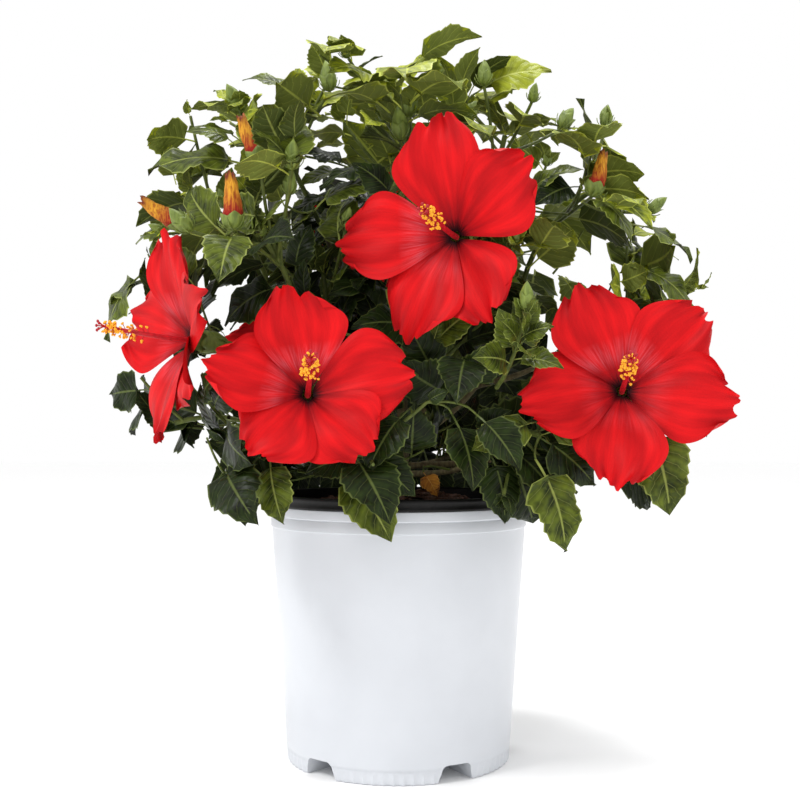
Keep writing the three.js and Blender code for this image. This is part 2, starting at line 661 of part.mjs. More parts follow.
// A shoot leaves its stem at an angle and turns a little towards its end, where it may bear a bud.
function makeShoot(start, toward, end, { steps, nodes, bare }, bud) {
  const bend = start.clone().addScaledVector(toward, start.distanceTo(end) * 0.5);
  const curve = new THREE.QuadraticBezierCurve3(start, bend, end);
  const points = Array.from({ length: 22 }, (_, i) => onRod(curve, steps, 0.16 + 0.04 * i));
  const shares = bud ? [0.2, 0.5, 0.8] : [];
  const budPoints = shares.map((share) => end.clone().addScaledVector(bud.point, bud.length * share));
  return { curve, steps, nodes, bare, points, bud, budPoints };
}

function shootHasRoom(mass, { points }) {
  const bough = `bough_${mass.name}`;
  const free = (p) => inCell(mass, p) && !inBloomRoom(p, 6) && !nearLimb(p, 3, bough) && !nearStalk(p, 3);
  return points.every(free);
}

// A mass's stem on from its bough's tip, and the shoots that fan from it.
function plan(mass) {
  const random = stream(mass.seed);
  const bough = limbs.get(`bough_${mass.name}`);
  const onward = bough.curve.getTangentAt(1);
  const foot = bough.curve.getPointAt(1).addScaledVector(onward, GAP);
  const stem = makeShoot(foot, onward, hearts.get(mass.name), STEM);
  const own = [stem];
  const axis = stem.curve.getTangentAt(1);
  const level = new THREE.Vector3().crossVectors(axis, UP).normalize();
  for (const { mass: owner, foot: budFoot, points, length } of BUDDED) {
    if (owner !== mass.name) continue;
    const end = V(...budFoot);
    const start = onRod(stem.curve, STEM.steps, STEM.budded);
    const toward = end.clone().sub(start).normalize().addScaledVector(axis, 0.5).normalize();
    own.push(makeShoot(start, toward, end, BUDDED_SHOOT, { point: heading(...points), length }));
  }
  for (let k = 0; k < mass.shoots; k++) {
    const around = rad(mass.turn + (360 / mass.shoots) * k + 30 * (random() - 0.5));
    const tilt = rad(mass.spread * (0.8 + 0.4 * random()));
    const ray = level.clone().applyAxisAngle(axis, around);
    const toward = along(axis, Math.cos(tilt)).addScaledVector(ray, Math.sin(tilt));
    const span = SHOOT.length * (0.85 + 0.3 * random());
    const start = onRod(stem.curve, STEM.steps, 0.62 + 0.34 * ((k + 0.5) / mass.shoots));
    const trials = [1, 0.8, 0.6].map((share) => {
      const end = start.clone().addScaledVector(toward, span * share);
      return makeShoot(start, toward, end.addScaledVector(UP, span * share * 0.14), SHOOT);
    });
    own.push(...trials.filter((trial) => shootHasRoom(mass, trial)).slice(0, 1));
  }
  shoots.push(...own);
  return { mass, own, random, footRadius: bough.radiusAt(1) };
}

function budSolid({ curve, bud: { point, length } }) {
  const profile = [[0, 0], [length * 0.18, length * 0.35], [0, length]];
  return solid(spindle(curve.getPointAt(1).addScaledVector(point, -1.5), point, profile, 5));
}

// One mass: its stem and shoots with their leaves and buds, fused.
function foliage({ mass, own, random, footRadius }) {
  const [stem, ...rest] = own;
  const stemRadius = (t) => lerp(footRadius, STEM.tip, t);
  const shootRadius = (t) => lerp(SHOOT.foot, SHOOT.tip, t);
  const solids = [solid(rod(stem.curve, stemRadius, STEM.sides, STEM.steps))];
  solids.push(...rest.map(({ curve, steps }) => solid(rod(curve, shootRadius, SHOOT.sides, steps))));
  solids.push(...rest.filter(({ bud }) => bud).map(budSolid));
  const sagginess = THREE.MathUtils.clamp(0.9 - (mass.heart[2] - 240) / 900, 0.5, 0.9);
  for (const shoot of own) solids.push(...growLeaves(mass, shoot, random, sagginess));
  return fuse(solids);
}

// ---------------------------------------------------------------- the assembly

const MATERIALS = {
  pot_white: { color: "#e9ebee", roughness: 0.38, metalness: 0 },
  rim_black: { color: "#17181a", roughness: 0.5, metalness: 0 },
  soil: { color: "#2b1d14", roughness: 0.95, metalness: 0 },
  bark: { color: "#7a6a4c", roughness: 0.85, metalness: 0 },
  leaf: { color: "#4d6027", roughness: 0.5, metalness: 0 },
  petal: { color: "#dd1c22", roughness: 0.55, metalness: 0 },
};
const finishes = new Map();
for (const [name, values] of Object.entries(MATERIALS)) {
  finishes.set(name, new THREE.MeshStandardMaterial({ name, ...values }));
}

function piece(name, made, finish) {
  const { numProp, vertProperties, triVerts } = made.getMesh();
  const geometry = new THREE.BufferGeometry();
  const vertices = new THREE.InterleavedBuffer(vertProperties, numProp);
  geometry.setAttribute("position", new THREE.InterleavedBufferAttribute(vertices, 3, 0));
  geometry.setIndex(new THREE.BufferAttribute(triVerts, 1));
  const flat = geometry.toNonIndexed();
  flat.computeVertexNormals();
  const mesh = new THREE.Mesh(flat, finishes.get(finish));
  mesh.name = name;
  return mesh;
}

const shrub = new THREE.Group();
shrub.add(piece("pot_wall", potWall(), "pot_white"));
shrub.add(piece("pot_rim", potRim(), "rim_black"));
shrub.add(piece("potting_mix", pottingMix(), "soil"));

const standing = [];
for (const [name, limb] of limbs) {
  let made = limbSolid(limb);
  for (const other of standing) made = made.subtract(other.grown);
  shrub.add(piece(name, fuse([made]), "bark"));
  standing.push({ grown: limbSolid(limb, GAP) });
}
for (const spec of BLOOMS) shrub.add(piece(spec.name, fuse([bloom(spec)]), "petal"));
for (const growth of MASSES.map(plan)) {
  shrub.add(piece(`leaves_${growth.mass.name}`, foliage(growth), "leaf"));
}

export default shrub;
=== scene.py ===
# Potted hibiscus shrub in flower. Lengths in the tables are millimetres; every mesh is made in metres,
# +Z up, the pot's underside on z = 0 and its axis on Z, the front of the plant towards -Y.
import json
import math
import bpy
import bmesh
import numpy as np
from mathutils import Matrix, Vector, noise

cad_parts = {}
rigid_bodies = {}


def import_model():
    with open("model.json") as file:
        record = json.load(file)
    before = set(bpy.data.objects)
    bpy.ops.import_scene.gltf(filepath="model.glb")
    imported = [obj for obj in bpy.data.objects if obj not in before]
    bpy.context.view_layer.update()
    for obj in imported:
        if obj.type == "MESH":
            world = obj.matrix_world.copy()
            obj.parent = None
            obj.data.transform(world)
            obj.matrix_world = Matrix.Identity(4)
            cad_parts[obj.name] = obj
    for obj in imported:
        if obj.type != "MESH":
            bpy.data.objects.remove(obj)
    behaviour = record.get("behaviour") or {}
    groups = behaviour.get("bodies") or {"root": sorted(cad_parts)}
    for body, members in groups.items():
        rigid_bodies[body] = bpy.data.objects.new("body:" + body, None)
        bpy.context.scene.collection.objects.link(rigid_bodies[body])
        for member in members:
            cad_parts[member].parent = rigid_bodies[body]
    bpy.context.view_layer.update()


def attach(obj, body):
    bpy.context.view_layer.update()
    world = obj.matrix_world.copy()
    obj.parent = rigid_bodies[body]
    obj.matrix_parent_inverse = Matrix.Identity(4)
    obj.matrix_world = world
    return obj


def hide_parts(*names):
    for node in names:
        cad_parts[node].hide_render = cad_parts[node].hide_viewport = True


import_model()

MM = 0.001

# ---------------------------------------------------------------- driving dimensions, as in the part

GAP = 0.3
POT = dict(
    height=226, wall_top=216, foot_radius=94.5, top_radius=109.5, rim_radius=111, wall=2.2, lip=2, skirt=8,
    collar=17, collar_step=0.8, notches=5, notch_height=14.5, notch_width=31, notch_depth=38,
    notch_bearing=-60.5,
)
SOIL = dict(edge=213, crown=218, crown_radius=34)
TRUNK = dict(height=70, flare=15, foot=10.5, top=6.5, lean=4)

# name, parent, share of the parent where it leaves, tip (bearing, reach, height), radii, bow
LIMBS = [
    ("bough_top_front", "trunk", 0.93, (-80, 34, 440), (4.8, 2.6), 0.2),
    ("bough_left", "trunk", 0.8, (178, 112, 404), (4.4, 2.3), 0.75),
    ("bough_right", "trunk", 0.72, (2, 108, 408), (4.4, 2.3), 0.75),
    ("bough_back_left", "trunk", 0.74, (128, 118, 388), (4.0, 2.2), 0.75),
    ("bough_back_right", "trunk", 0.66, (52, 118, 386), (4.0, 2.2), 0.75),
    ("bough_front", "trunk", 0.7, (-66, 62, 286), (3.6, 2.1), 0.7),
    ("bough_inner_left", "trunk", 0.88, (-150, 46, 330), (3.4, 2.1), 0.6),
    ("bough_inner_right", "trunk", 0.84, (-26, 52, 340), (3.4, 2.1), 0.6),
    ("bough_top_left", "bough_top_front", 0.42, (188, 66, 452), (3.2, 2.1), 0.6),
    ("bough_top_right", "bough_top_front", 0.55, (2, 66, 458), (3.0, 2.1), 0.6),
    ("bough_top_back", "bough_top_front", 0.3, (92, 66, 446), (3.2, 2.1), 0.6),
    ("bough_front_left", "bough_left", 0.36, (218, 104, 376), (3.2, 2.0), 0.7),
    ("bough_mid_left", "bough_left", 0.46, (192, 128, 338), (2.9, 2.0), 0.7),
    ("bough_mid_right", "bough_right", 0.45, (-4, 136, 346), (2.9, 2.0), 0.7),
    ("bough_mid_back", "bough_back_left", 0.3, (93, 124, 330), (3.0, 2.0), 0.7),
    ("bough_low_front_left", "trunk", 0.42, (-137, 92, 256), (3.2, 2.0), 0.9),
    ("bough_low_front", "trunk", 0.5, (-100, 88, 252), (3.0, 2.0), 0.9),
    ("bough_low_front_right", "trunk", 0.34, (-50, 94, 256), (3.2, 2.0), 0.9),
    ("bough_low_left", "trunk", 0.36, (176, 112, 266), (3.2, 2.0), 0.9),
    ("bough_low_right", "trunk", 0.44, (-4, 112, 266), (3.2, 2.0), 0.9),
    ("bough_low_back_left", "trunk", 0.34, (122, 112, 268), (3.2, 2.0), 0.9),
    ("bough_low_back_right", "trunk", 0.42, (58, 112, 268), (3.2, 2.0), 0.9),
]

# name, heart (bearing, reach, height), shoots, spread, turn, seed
MASSES = [
    ("top_front", (-80, 50, 536), 4, 58, 20, 41),
    ("top_left", (186, 106, 532), 3, 56, 150, 12),
    ("top_right", (2, 92, 534), 3, 56, 40, 13),
    ("top_back", (94, 96, 530), 3, 56, 70, 14),
    ("left", (178, 176, 482), 3, 54, 120, 15),
    ("right", (-6, 166, 484), 3, 54, 10, 16),
    ("back_left", (130, 176, 462), 4, 54, 0, 17),
    ("back_right", (50, 176, 462), 3, 54, 60, 18),
    ("front_left", (220, 140, 432), 3, 50, 200, 19),
    ("inner_left", (-150, 72, 410), 4, 60, 60, 31),
    ("inner_right", (-24, 84, 414), 4, 60, 15, 32),
    ("front", (-76, 108, 344), 5, 66, 90, 20),
    ("mid_left", (180, 196, 382), 3, 56, 30, 21),
    ("mid_right", (4, 206, 392), 3, 56, 0, 22),
    ("mid_back", (90, 198, 366), 4, 56, 45, 23),
    ("low_front_left", (-142, 166, 276), 3, 56, 0, 24),
    ("low_front", (-100, 148, 274), 4, 60, 30, 30),
    ("low_front_right", (-48, 162, 276), 4, 56, 45, 25),
    ("low_left", (178, 194, 286), 3, 56, 20, 26),
    ("low_right", (-4, 194, 286), 3, 56, 60, 27),
    ("low_back_left", (124, 186, 286), 3, 56, 10, 28),
    ("low_back_right", (56, 186, 286), 3, 56, 50, 29),
]

# mass, the bud's foot, its bearing and rise, its length, and whether it is a green bud or a spent bloom
BUDDED = [
    ("top_left", (-57, -34, 562), (170, 80), 27, "green"),
    ("top_front", (2, -66, 514), (180, 86), 28, "green"),
    ("top_right", (72, -22, 570), (60, 80), 24, "green"),
    ("front_left", (-106, -112, 485), (180, 68), 33, "spent"),
    ("left", (-172, -56, 446), (182, 28), 36, "spent"),
    ("front_left", (-86, -86, 466), (100, 84), 22, "green"),
    ("front_left", (-124, -134, 430), (170, 84), 36, "spent"),
    ("right", (154, -78, 466), (20, 72), 32, "spent"),
]

# name, throat, facing (bearing, rise), limb that bears it, share of the limb, petals (turn, reach, blush)
BLOOMS = [
    ("bloom_top", (38, -128, 430), (-110, 3), "bough_top_front", 0.62,
     [(98, 95, 0), (37, 84, 0), (298, 80, 0), (250, 90, 0.4), (184, 92, 1)]),
    ("bloom_low_left", (-66, -158, 311), (-84, 15), "bough_low_front_left", 0.62,
     [(100, 80, 1), (8, 80, 0), (312, 68, 0), (228, 67, 0), (166, 79, 0.8)]),
    ("bloom_right", (171, -128, 314), (-95, 13), "bough_low_front_right", 0.75,
     [(112, 88, 1), (42, 88, 1), (350, 86, 0.3), (262, 82, 0.3), (193, 82, 0.3)]),
    ("bloom_left", (-178, -90, 352), (-150, 3), "bough_mid_left", 0.7,
     [(88, 86, 1), (22, 80, 0.5), (318, 78, 0.3), (262, 84, 1), (166, 80, 0.5)]),
    ("bloom_back_high", (-14, 172, 470), (94, 14), "bough_back_right", 0.72,
     [(90, 88, 1), (18, 84, 0.4), (306, 82, 0), (234, 86, 0), (162, 84, 0.6)]),
    ("bloom_back_low", (-96, 196, 352), (112, 8), "bough_mid_back", 0.7,
     [(80, 84, 1), (8, 82, 0.5), (300, 80, 0), (228, 86, 0), (150, 84, 0.6)]),
]

PETAL = dict(length=88, half_width=39, tilt=5, throat=20, reach=5)
COLUMN = dict(length=57, foot=3.2)
CALYX = dict(length=26, mouth=9, foot=3.4)
# A bud's calyx: its length and half its width, as shares of the bud's own length, and its foot's radius.
BUD_CALYX = dict(green=(0.5, 0.24), spent=(0.36, 0.235), tip=(0.6, 0.24), foot=1.6, tip_foot=1.2)
FLOWER_STALK = dict(radius=2.1, steps=4)
STEM = dict(tip=2.3, steps=2, nodes=3, bare=0.35, budded=0.55)
SHOOT = dict(foot=1.5, tip=1.3, length=66, nodes=4, bare=0.32, steps=1)
BUDDED_SHOOT = dict(nodes=3, bare=0.5, steps=1)
# A leaf's width and the place of its tip are shares of its length.
LEAF = dict(longest=94, shortest=58, width=0.29, tip=0.97, divergence=144, roll=42, skyward=0.2)
# How far a leaf keeps from its mass's bounds and from other pieces, and how deep the room before a bloom is.
CLEAR = dict(cell=0.5, limb=3.2, bloom=8, pot=3, leaf=3.6, shoot=3.5, bud=9, before_bloom=150)
# Only leaves and shoots nearer to a leaf's root than this are tried for meeting it.
NEAR = dict(leaf=130, shoot=110)
# The crown's outer form: a dome over its waist, with a level underside that lifts beyond the eaves.
CROWN = dict(reach=263, waist=340, rise=276, power=2.2, hang=242, eaves=150, lift=46, centre=300)
# Where the crown's skirt hangs lower, over the pot's rim: bearing, half its width, how low it hangs.
SKIRTS = [
    (-129, 14, 214), (-99, 9, 206), (-58, 7, 222), (-43, 9, 196), (-15, 12, 214), (58, 12, 212),
    (98, 10, 208), (140, 12, 216),
]

CAMERA = dict(distance=1070, height=281.6, focal_px=1243, axis_px=398.5, horizon_px=428, frame_px=800)
# Where the sky shows at the crown's edge, seen from the camera and set down in the plane through the trunk:
# x from, x to, z from, z to. A leaf whose middle is seen there is left out; so is a shoot that ends there.
SKY = [
    (-215, -141, 190, 268), (-30, 44, 606, 640), (-262, -216, 402, 492), (-208, -164, 474, 498),
    (160, 212, 200, 230), (216, 250, 455, 492), (106, 168, 396, 438), (-232, -165, 262, 281),
    (104, 175, 564, 600),
]

# Only here: the finer growth between the part's leaves, first on twigs that leave the shoots.
TWIG = dict(length=40, foot=1.1, tip=0.8, leaves=3, longest=76, shortest=46, places=(0.4, 0.8))
# The young leaves round a shoot's tip. The tiny ones only keep clear of blooms.
TUFT = dict(leaves=7, longest=48, shortest=13, tiny=24, bloom=3)
FINE_CLEAR = 2.6  # between a finer leaf and its neighbours
# Short twigs on the limbs themselves, which fill the shade over the soil; hang is how far they reach below.
INNER = dict(places=(0.3, 0.42, 0.54, 0.66, 0.78, 0.9), reach=125, above=228, below=430, hang=15)
# Higher up the leaves are smaller and the finer twigs fewer, so that the sky shows between them.
UPPER = dict(above=400, over=130, size=0.93, thinned_above=430)
# A fringe of leaves hanging at the back, painted in shade, which darkens the gap over the far rim: its
# bearings, how far on a tip's bearing is from its root's, and for each row the reach and height of the roots
# and of the tips.
FRINGE = dict(
    first=16, last=166, step=12, onward=4,
    rows=[((122, 268), (133, 219)), ((118, 250), (125, 206))],
)
# Small green buds in the tips of the upper shoots, and how many of those shoots have one.
TIP_BUD = dict(length=21, share=0.6, above=400)
# Leaves that stand out at the crown's edge and before its blooms: root, tip, roll in degrees, finish.
MARKED_LEAVES = [
    ((-120, -62, 494), (-206, -70, 488), -25, "leaf_mid"),
    ((68, 2, 571), (132, -14, 592), 62, "leaf_yellowing"),
    ((-88, -10, 566), (-134, -20, 584), -35, "leaf_mid"),
    ((-44, -6, 500), (-88, -16, 484), -30, "leaf_mid"),
    ((-40, 4, 578), (-14, -2, 605), 20, "leaf_mid"),
    ((-130, -72, 508), (-168, -84, 524), -30, "leaf_mid"),
    ((-2, -84, 462), (-36, -92, 492), -50, "leaf_deep"),
    ((-52, 2, 446), (-90, -8, 470), -60, "leaf_deep"),
    ((-206, -78, 306), (-240, -90, 276), -50, "leaf_deep"),
    ((190, -24, 452), (244, -34, 420), 20, "leaf_mid"),
    ((194, -36, 414), (244, -48, 380), 30, "leaf_mid"),
    ((104, -50, 470), (148, -64, 500), 30, "leaf_mid"),
    ((148, -40, 480), (106, -58, 462), -30, "leaf_deep"),
    ((54, 0, 558), (66, -8, 611), 20, "leaf_bright"),
    ((60, 4, 566), (92, -4, 604), -20, "leaf_mid"),
    ((-128, -50, 516), (-172, -62, 528), -25, "leaf_mid"),
    ((-40, -30, 500), (-84, -44, 512), -30, "leaf_deep"),
    ((-56, -20, 480), (-90, -36, 452), -20, "leaf_deep"),
    ((-50, 36, 456), (-94, 24, 494), -50, "leaf_deep"),
    ((-100, 44, 456), (-62, 32, 486), 50, "leaf_deep"),
    ((-96, -8, 446), (-58, -20, 474), 40, "leaf_mid"),
    ((-222, -60, 346), (-238, -66, 384), 40, "leaf_mid"),
    ((-210, -70, 322), (-246, -84, 284), -40, "leaf_deep"),
    ((-222, -80, 304), (-244, -92, 268), -50, "leaf_mid"),
    ((-40, -118, 256), (-8, -134, 196), -20, "leaf_mid"),
    ((70, -122, 262), (82, -136, 212), 10, "leaf_deep"),
    ((104, -118, 258), (126, -130, 190), 15, "leaf_mid"),
    ((196, -80, 288), (216, -96, 216), 60, "leaf_mid"),
    ((-98, -122, 262), (-86, -134, 210), -15, "leaf_mid"),
    ((-126, -98, 262), (-116, -114, 208), -50, "leaf_deep"),
    ((84, -150, 316), (14, -172, 322), -10, "leaf_bright"),
    ((8, -140, 296), (-22, -160, 250), 20, "leaf_deep"),
    ((40, -140, 292), (52, -158, 236), -15, "leaf_deep"),
    ((-24, -150, 352), (14, -176, 372), 15, "leaf_mid"),
    ((66, -150, 292), (96, -168, 252), 10, "leaf_deep"),
    ((-20, -136, 262), (10, -150, 232), 0, "leaf_deep"),
    ((104, -136, 286), (66, -156, 270), 10, "leaf_mid"),
    ((20, -70, 246), (31, -82, 229), 0, "leaf_withered"),
    ((80, 40, 326), (132, 28, 362), -50, "leaf_deep"),
    ((96, 60, 300), (146, 46, 326), -50, "leaf_deep"),
    ((40, 60, 262), (86, 44, 246), -60, "leaf_deep"),
    ((-40, 60, 262), (4, 48, 242), -60, "leaf_deep"),
    ((-60, 50, 262), (-100, 40, 240), 60, "leaf_deep"),
    ((-68, -72, 458), (-12, -92, 484), 15, "leaf_mid"),
    ((-16, -70, 492), (-66, -88, 474), -10, "leaf_deep"),
    ((-10, 20, 470), (-70, 4, 490), -50, "leaf_deep"),
    ((-66, 30, 462), (-20, 12, 500), 50, "leaf_mid"),
    ((-30, 60, 456), (-78, 40, 520), -30, "leaf_deep"),
    ((-6, 70, 500), (-66, 52, 512), -50, "leaf_mid"),
]
# Where such a leaf may move to, in turn, when a bloom, the pot or another leaf is in its way.
SHIFTS = [
    (0, 0, 0), (0, -9, 0), (0, 9, 0), (9, -4, 0), (-9, -4, 0), (0, -4, -9), (0, -4, 9), (0, -18, 0),
    (0, 18, 0), (0, 27, 0),
]
# A small leafy shoot before the gap between two blooms: foot, tip, radii, its leaves' first and last lengths,
# how far forward they stay, and the bud at its tip.
SPRIG = dict(
    foot=(74, -132, 312), tip=(92, -172, 366), radii=(1.8, 1.1), leaves=13, longest=42, shortest=15,
    front=-142, bud=22,
)
# A bud is kept in sight: no finer leaf comes within this of it, or of the space before it.
BUD_SIGHT = dict(clear=13, reach=60, step=15)
# The stamens stand on the outer part of the column's tube, from a share of its length on.
TUBE = dict(thinner=0.8, tip=1.3, end=0.97)
STAMENS = dict(count=64, first=0.5, span=0.46, longest=6.5, shortest=3.8, turn=2.399)
STIGMA_PAD = [(0, 0), (1.1, 0.4), (1.35, 1.1), (0.9, 1.8), (0, 2.1)]
# The bark mulch on the soil: how much higher it lies about the trunk and how wide, and its chips.
MULCH = dict(heap=7.5, spread=78, chips=520, reach=94, forms=6)
FLUTES = dict(count=74, height=12, depth=1.7)
POT_SIDES = 222  # three to a flute
LEAF_FORMS = 8
PETAL_COLS, PETAL_ROWS = 26, 22
UNDERSIDE = 2.0  # how far the map of a leaf's or petal's back is moved, so that its finish can tell it

# One stream of random numbers for each kind of growth; each of a kind's many pieces adds its own number.
SEEDS = dict(
    sprig=55, masses=100, inner=77, leaf_forms=300, tones=909, chip_forms=700, mulch=88, petals=40,
    columns=500, calyxes=60, bud_calyxes=80, tip_calyxes=90,
)

# ---------------------------------------------------------------- small helpers

UP = np.array([0.0, 0.0, 1.0])


def lerp(a, b, t):
    return a + (b - a) * t


def smooth(t):
    return t * t * (3 - 2 * t)


def unit(v):
    return v / np.linalg.norm(v)


def polar(bearing, reach, height):
    angle = math.radians(bearing)
    return np.array([reach * math.cos(angle), reach * math.sin(angle), height])


def heading(bearing, rise):
    return polar(bearing, math.cos(math.radians(rise)), math.sin(math.radians(rise)))


def turned(v, axis, angle):
    """v turned about an axis of length 1, in radians."""
    c, s = math.cos(angle), math.sin(angle)
    return v * c + np.cross(axis, v) * s + axis * (axis @ v) * (1 - c)


def stream(seed):
    """A plain repeatable stream of numbers from 0 to 1, the same as the part's."""
    state = (seed * 2654435761) % 4294967296

    def draw():
        nonlocal state
        state = (state * 1664525 + 1013904223) % 4294967296
        return state / 4294967296

    return draw


class Path:
    """A Bezier curve that is read by shares of its length."""

    DIVISIONS = 200

    def __init__(self, *points):
        self.points = [np.array(p, float) for p in points]
        self.params = np.linspace(0, 1, self.DIVISIONS + 1)
        laid = self.raw(self.params)
        steps = np.linalg.norm(np.diff(laid, axis=0), axis=1)
        self.lengths = np.concatenate([[0], np.cumsum(steps)])

    def raw(self, params):
        t = np.atleast_1d(params)[:, None]
        rest = self.points
        while len(rest) > 1:
            rest = [a * (1 - t) + b * t for a, b in zip(rest, rest[1:])]
        return rest[0]

    def param(self, shares):
        return np.interp(np.atleast_1d(shares) * self.lengths[-1], self.lengths, self.params)

    def at(self, share):
        return self.raw(self.param(share))[0]

    def laid(self, shares):
        return self.raw(self.param(shares))

    def tangent(self, share):
        t = self.param(share)[0]
        low, high = max(0, t - 1e-4), min(1, t + 1e-4)
        return unit(self.raw(high)[0] - self.raw(low)[0])


def on_rod(path, steps, share):
    """The point at a share of a rod laid in so many straight runs."""
    step = min(steps - 1, math.floor(share * steps + 1e-9))
    return lerp(path.at(step / steps), path.at((step + 1) / steps), share * steps - step)


# ---------------------------------------------------------------- limbs, and the room each piece keeps to

trunk_foot = SOIL["crown"] + GAP
trunk_path = Path(
    (0, 0, trunk_foot),
    (0, 0, trunk_foot + TRUNK["height"] * 0.5),
    (TRUNK["lean"], -TRUNK["lean"] * 0.5, trunk_foot + TRUNK["height"]),
)


def trunk_radius(t):
    return lerp(TRUNK["foot"], TRUNK["top"], t) + (TRUNK["flare"] - TRUNK["foot"]) * max(0, 1 - t / 0.16) ** 2


limbs = {"trunk": dict(path=trunk_path, radius=trunk_radius, steps=8)}
for limb_name, parent, share, tip, radii, bow in LIMBS:
    start, end = limbs[parent]["path"].at(share), polar(*tip)
    elbow = lerp(start, end, np.array([bow, bow, 1 - bow]))
    limbs[limb_name] = dict(
        path=Path(start, elbow, end),
        radius=lambda t, r=radii: lerp(r[0], r[1], t) + r[0] * 0.35 * max(0, 1 - t / 0.12) ** 2,
        steps=3,
    )

limb_points = np.array([on_rod(v["path"], v["steps"], i / 40) for v in limbs.values() for i in range(41)])
limb_radii = np.array([v["radius"](i / 40) for v in limbs.values() for i in range(41)])
limb_names = np.array([name for name in limbs for _ in range(41)])
hearts = {name: polar(*heart) for name, heart, *_ in MASSES}

bloom_axes = {}
stalk_paths = {}
for bloom_name, throat, faces, limb_name, share, _ in BLOOMS:
    out = heading(*faces)
    right = unit(np.cross(UP, out))
    throat = np.array(throat, float)
    bloom_axes[bloom_name] = dict(throat=throat, out=out, right=right, up=np.cross(out, right))
    start = limbs[limb_name]["path"].at(share)
    end = throat - out * (PETAL["throat"] + CALYX["length"] - 3)
    span = np.linalg.norm(end - start)
    lifted = lerp(start, end, 0.3) + UP * span * 0.12
    stalk_paths[bloom_name] = Path(start, lifted, end - out * span * 0.35, end)
stalk_points = np.array([
    on_rod(path, FLOWER_STALK["steps"], i / 30) for path in stalk_paths.values() for i in range(31)
])


def petal_depth(s):
    """How far a petal's back lies along the bloom's axis, at a share of the reach from that axis."""
    deep = PETAL["throat"]
    return -deep + deep * 3.1 * s - (deep * 2.1 - PETAL["reach"]) * s * s


def in_bloom_room(points, margin):
    """Whether a point lies in the space before a bloom, or in its calyx."""
    for axes in bloom_axes.values():
        away = points - axes["throat"]
        depth = away @ axes["out"]
        reach = np.linalg.norm(away - depth[:, None] * axes["out"], axis=1)
        share = np.minimum(1, reach / PETAL["length"])
        before = (reach < PETAL["length"] + margin) & (depth > petal_depth(share) - margin)
        before &= depth < CLEAR["before_bloom"]
        behind = (reach < CALYX["mouth"] + margin) & (depth < 0)
        behind &= depth > -PETAL["throat"] - CALYX["length"] - margin
        if before.any() or behind.any():
            return True
    return False


def apart(points, others):
    """The distance from each point to each of the others."""
    return np.linalg.norm(points[:, None] - others[None], axis=2)


def near_stalk(points, margin):
    return (apart(points, stalk_points) < FLOWER_STALK["radius"] + margin).any()


def near_limb(points, margin, spared=None):
    counted = limb_names != spared
    return (apart(points, limb_points[counted]) < limb_radii[counted] + margin).any()


def in_cell(mass, points):
    """Whether every point is nearer to its own mass's heart than to another's."""
    own = ((points - hearts[mass]) ** 2).sum(1)
    for name, heart in hearts.items():
        if name == mass:
            continue
        other = ((points - heart) ** 2).sum(1)
        if ((other - own) / (2 * np.linalg.norm(heart - hearts[mass])) < CLEAR["cell"]).any():
            return False
    return True


def in_pot(points, margin):
    reach = np.hypot(points[:, 0], points[:, 1])
    return ((points[:, 2] < POT["height"] + margin) & (reach < POT["rim_radius"] + margin)).any()


def in_crown(points, hang=0):
    """Whether every point lies in the crown's form; hang lets inner ones reach below it."""
    reach = np.hypot(points[:, 0], points[:, 1])
    out = (reach / CROWN["reach"]) ** CROWN["power"]
    eaves = np.maximum(0, (reach - CROWN["eaves"]) / (CROWN["reach"] - CROWN["eaves"]))
    underside = CROWN["hang"] + CROWN["lift"] * eaves**1.5 - hang * (reach < INNER["reach"])
    bearing = np.degrees(np.arctan2(points[:, 1], points[:, 0]))
    for middle, half, low in SKIRTS:
        underside = np.where(np.abs(bearing - middle) < half, low, underside)
    rise = (np.maximum(0, points[:, 2] - CROWN["waist"]) / CROWN["rise"]) ** CROWN["power"]
    return ((points[:, 2] > underside) & (out + rise < 1)).all()


def has_room(mass, points, hang=0):
    return (
        in_crown(points, hang)
        and in_cell(mass, points)
        and not in_pot(points, CLEAR["pot"])
        and not in_bloom_room(points, CLEAR["bloom"])
        and not near_limb(points, CLEAR["limb"])
        and not near_stalk(points, CLEAR["limb"])
    )


# ---------------------------------------------------------------- shoots and leaves, by the part's rule

LEAF_SHARES = np.arange(2, 11) / 10
STALK_SAMPLES = 5  # the first samples lie on the leaf's own stalk


def leaf_corners(at, length):
    """The part's leaf at a frame: root, left, right, ridge and tip."""
    half = length * LEAF["width"]

    def place(y, x, z):
        return at["root"] + at["run"] * y + at["side"] * x + at["face"] * z

    return (
        place(0, 0, 0),
        place(length * 0.5, -half, length * 0.13),
        place(length * 0.5, half, length * 0.13),
        place(length * 0.56, 0, length * 0.09),
        place(length * LEAF["tip"], 0, -length * 0.06),
    )


def leaf_samples(corners):
    """Points along a leaf's midrib, its margins and halfway between them."""
    root, left, right, ridge, tip = corners
    samples = []
    for t in LEAF_SHARES:
        rib, *rims = [
            lerp(root, middle, t / 0.5) if t < 0.5 else lerp(middle, tip, (t - 0.5) / 0.5)
            for middle in (ridge, left, right)
        ]
        samples.append(rib)
        for rim in rims:
            samples += [rim, lerp(rib, rim, 0.5)]
    return np.array(samples)


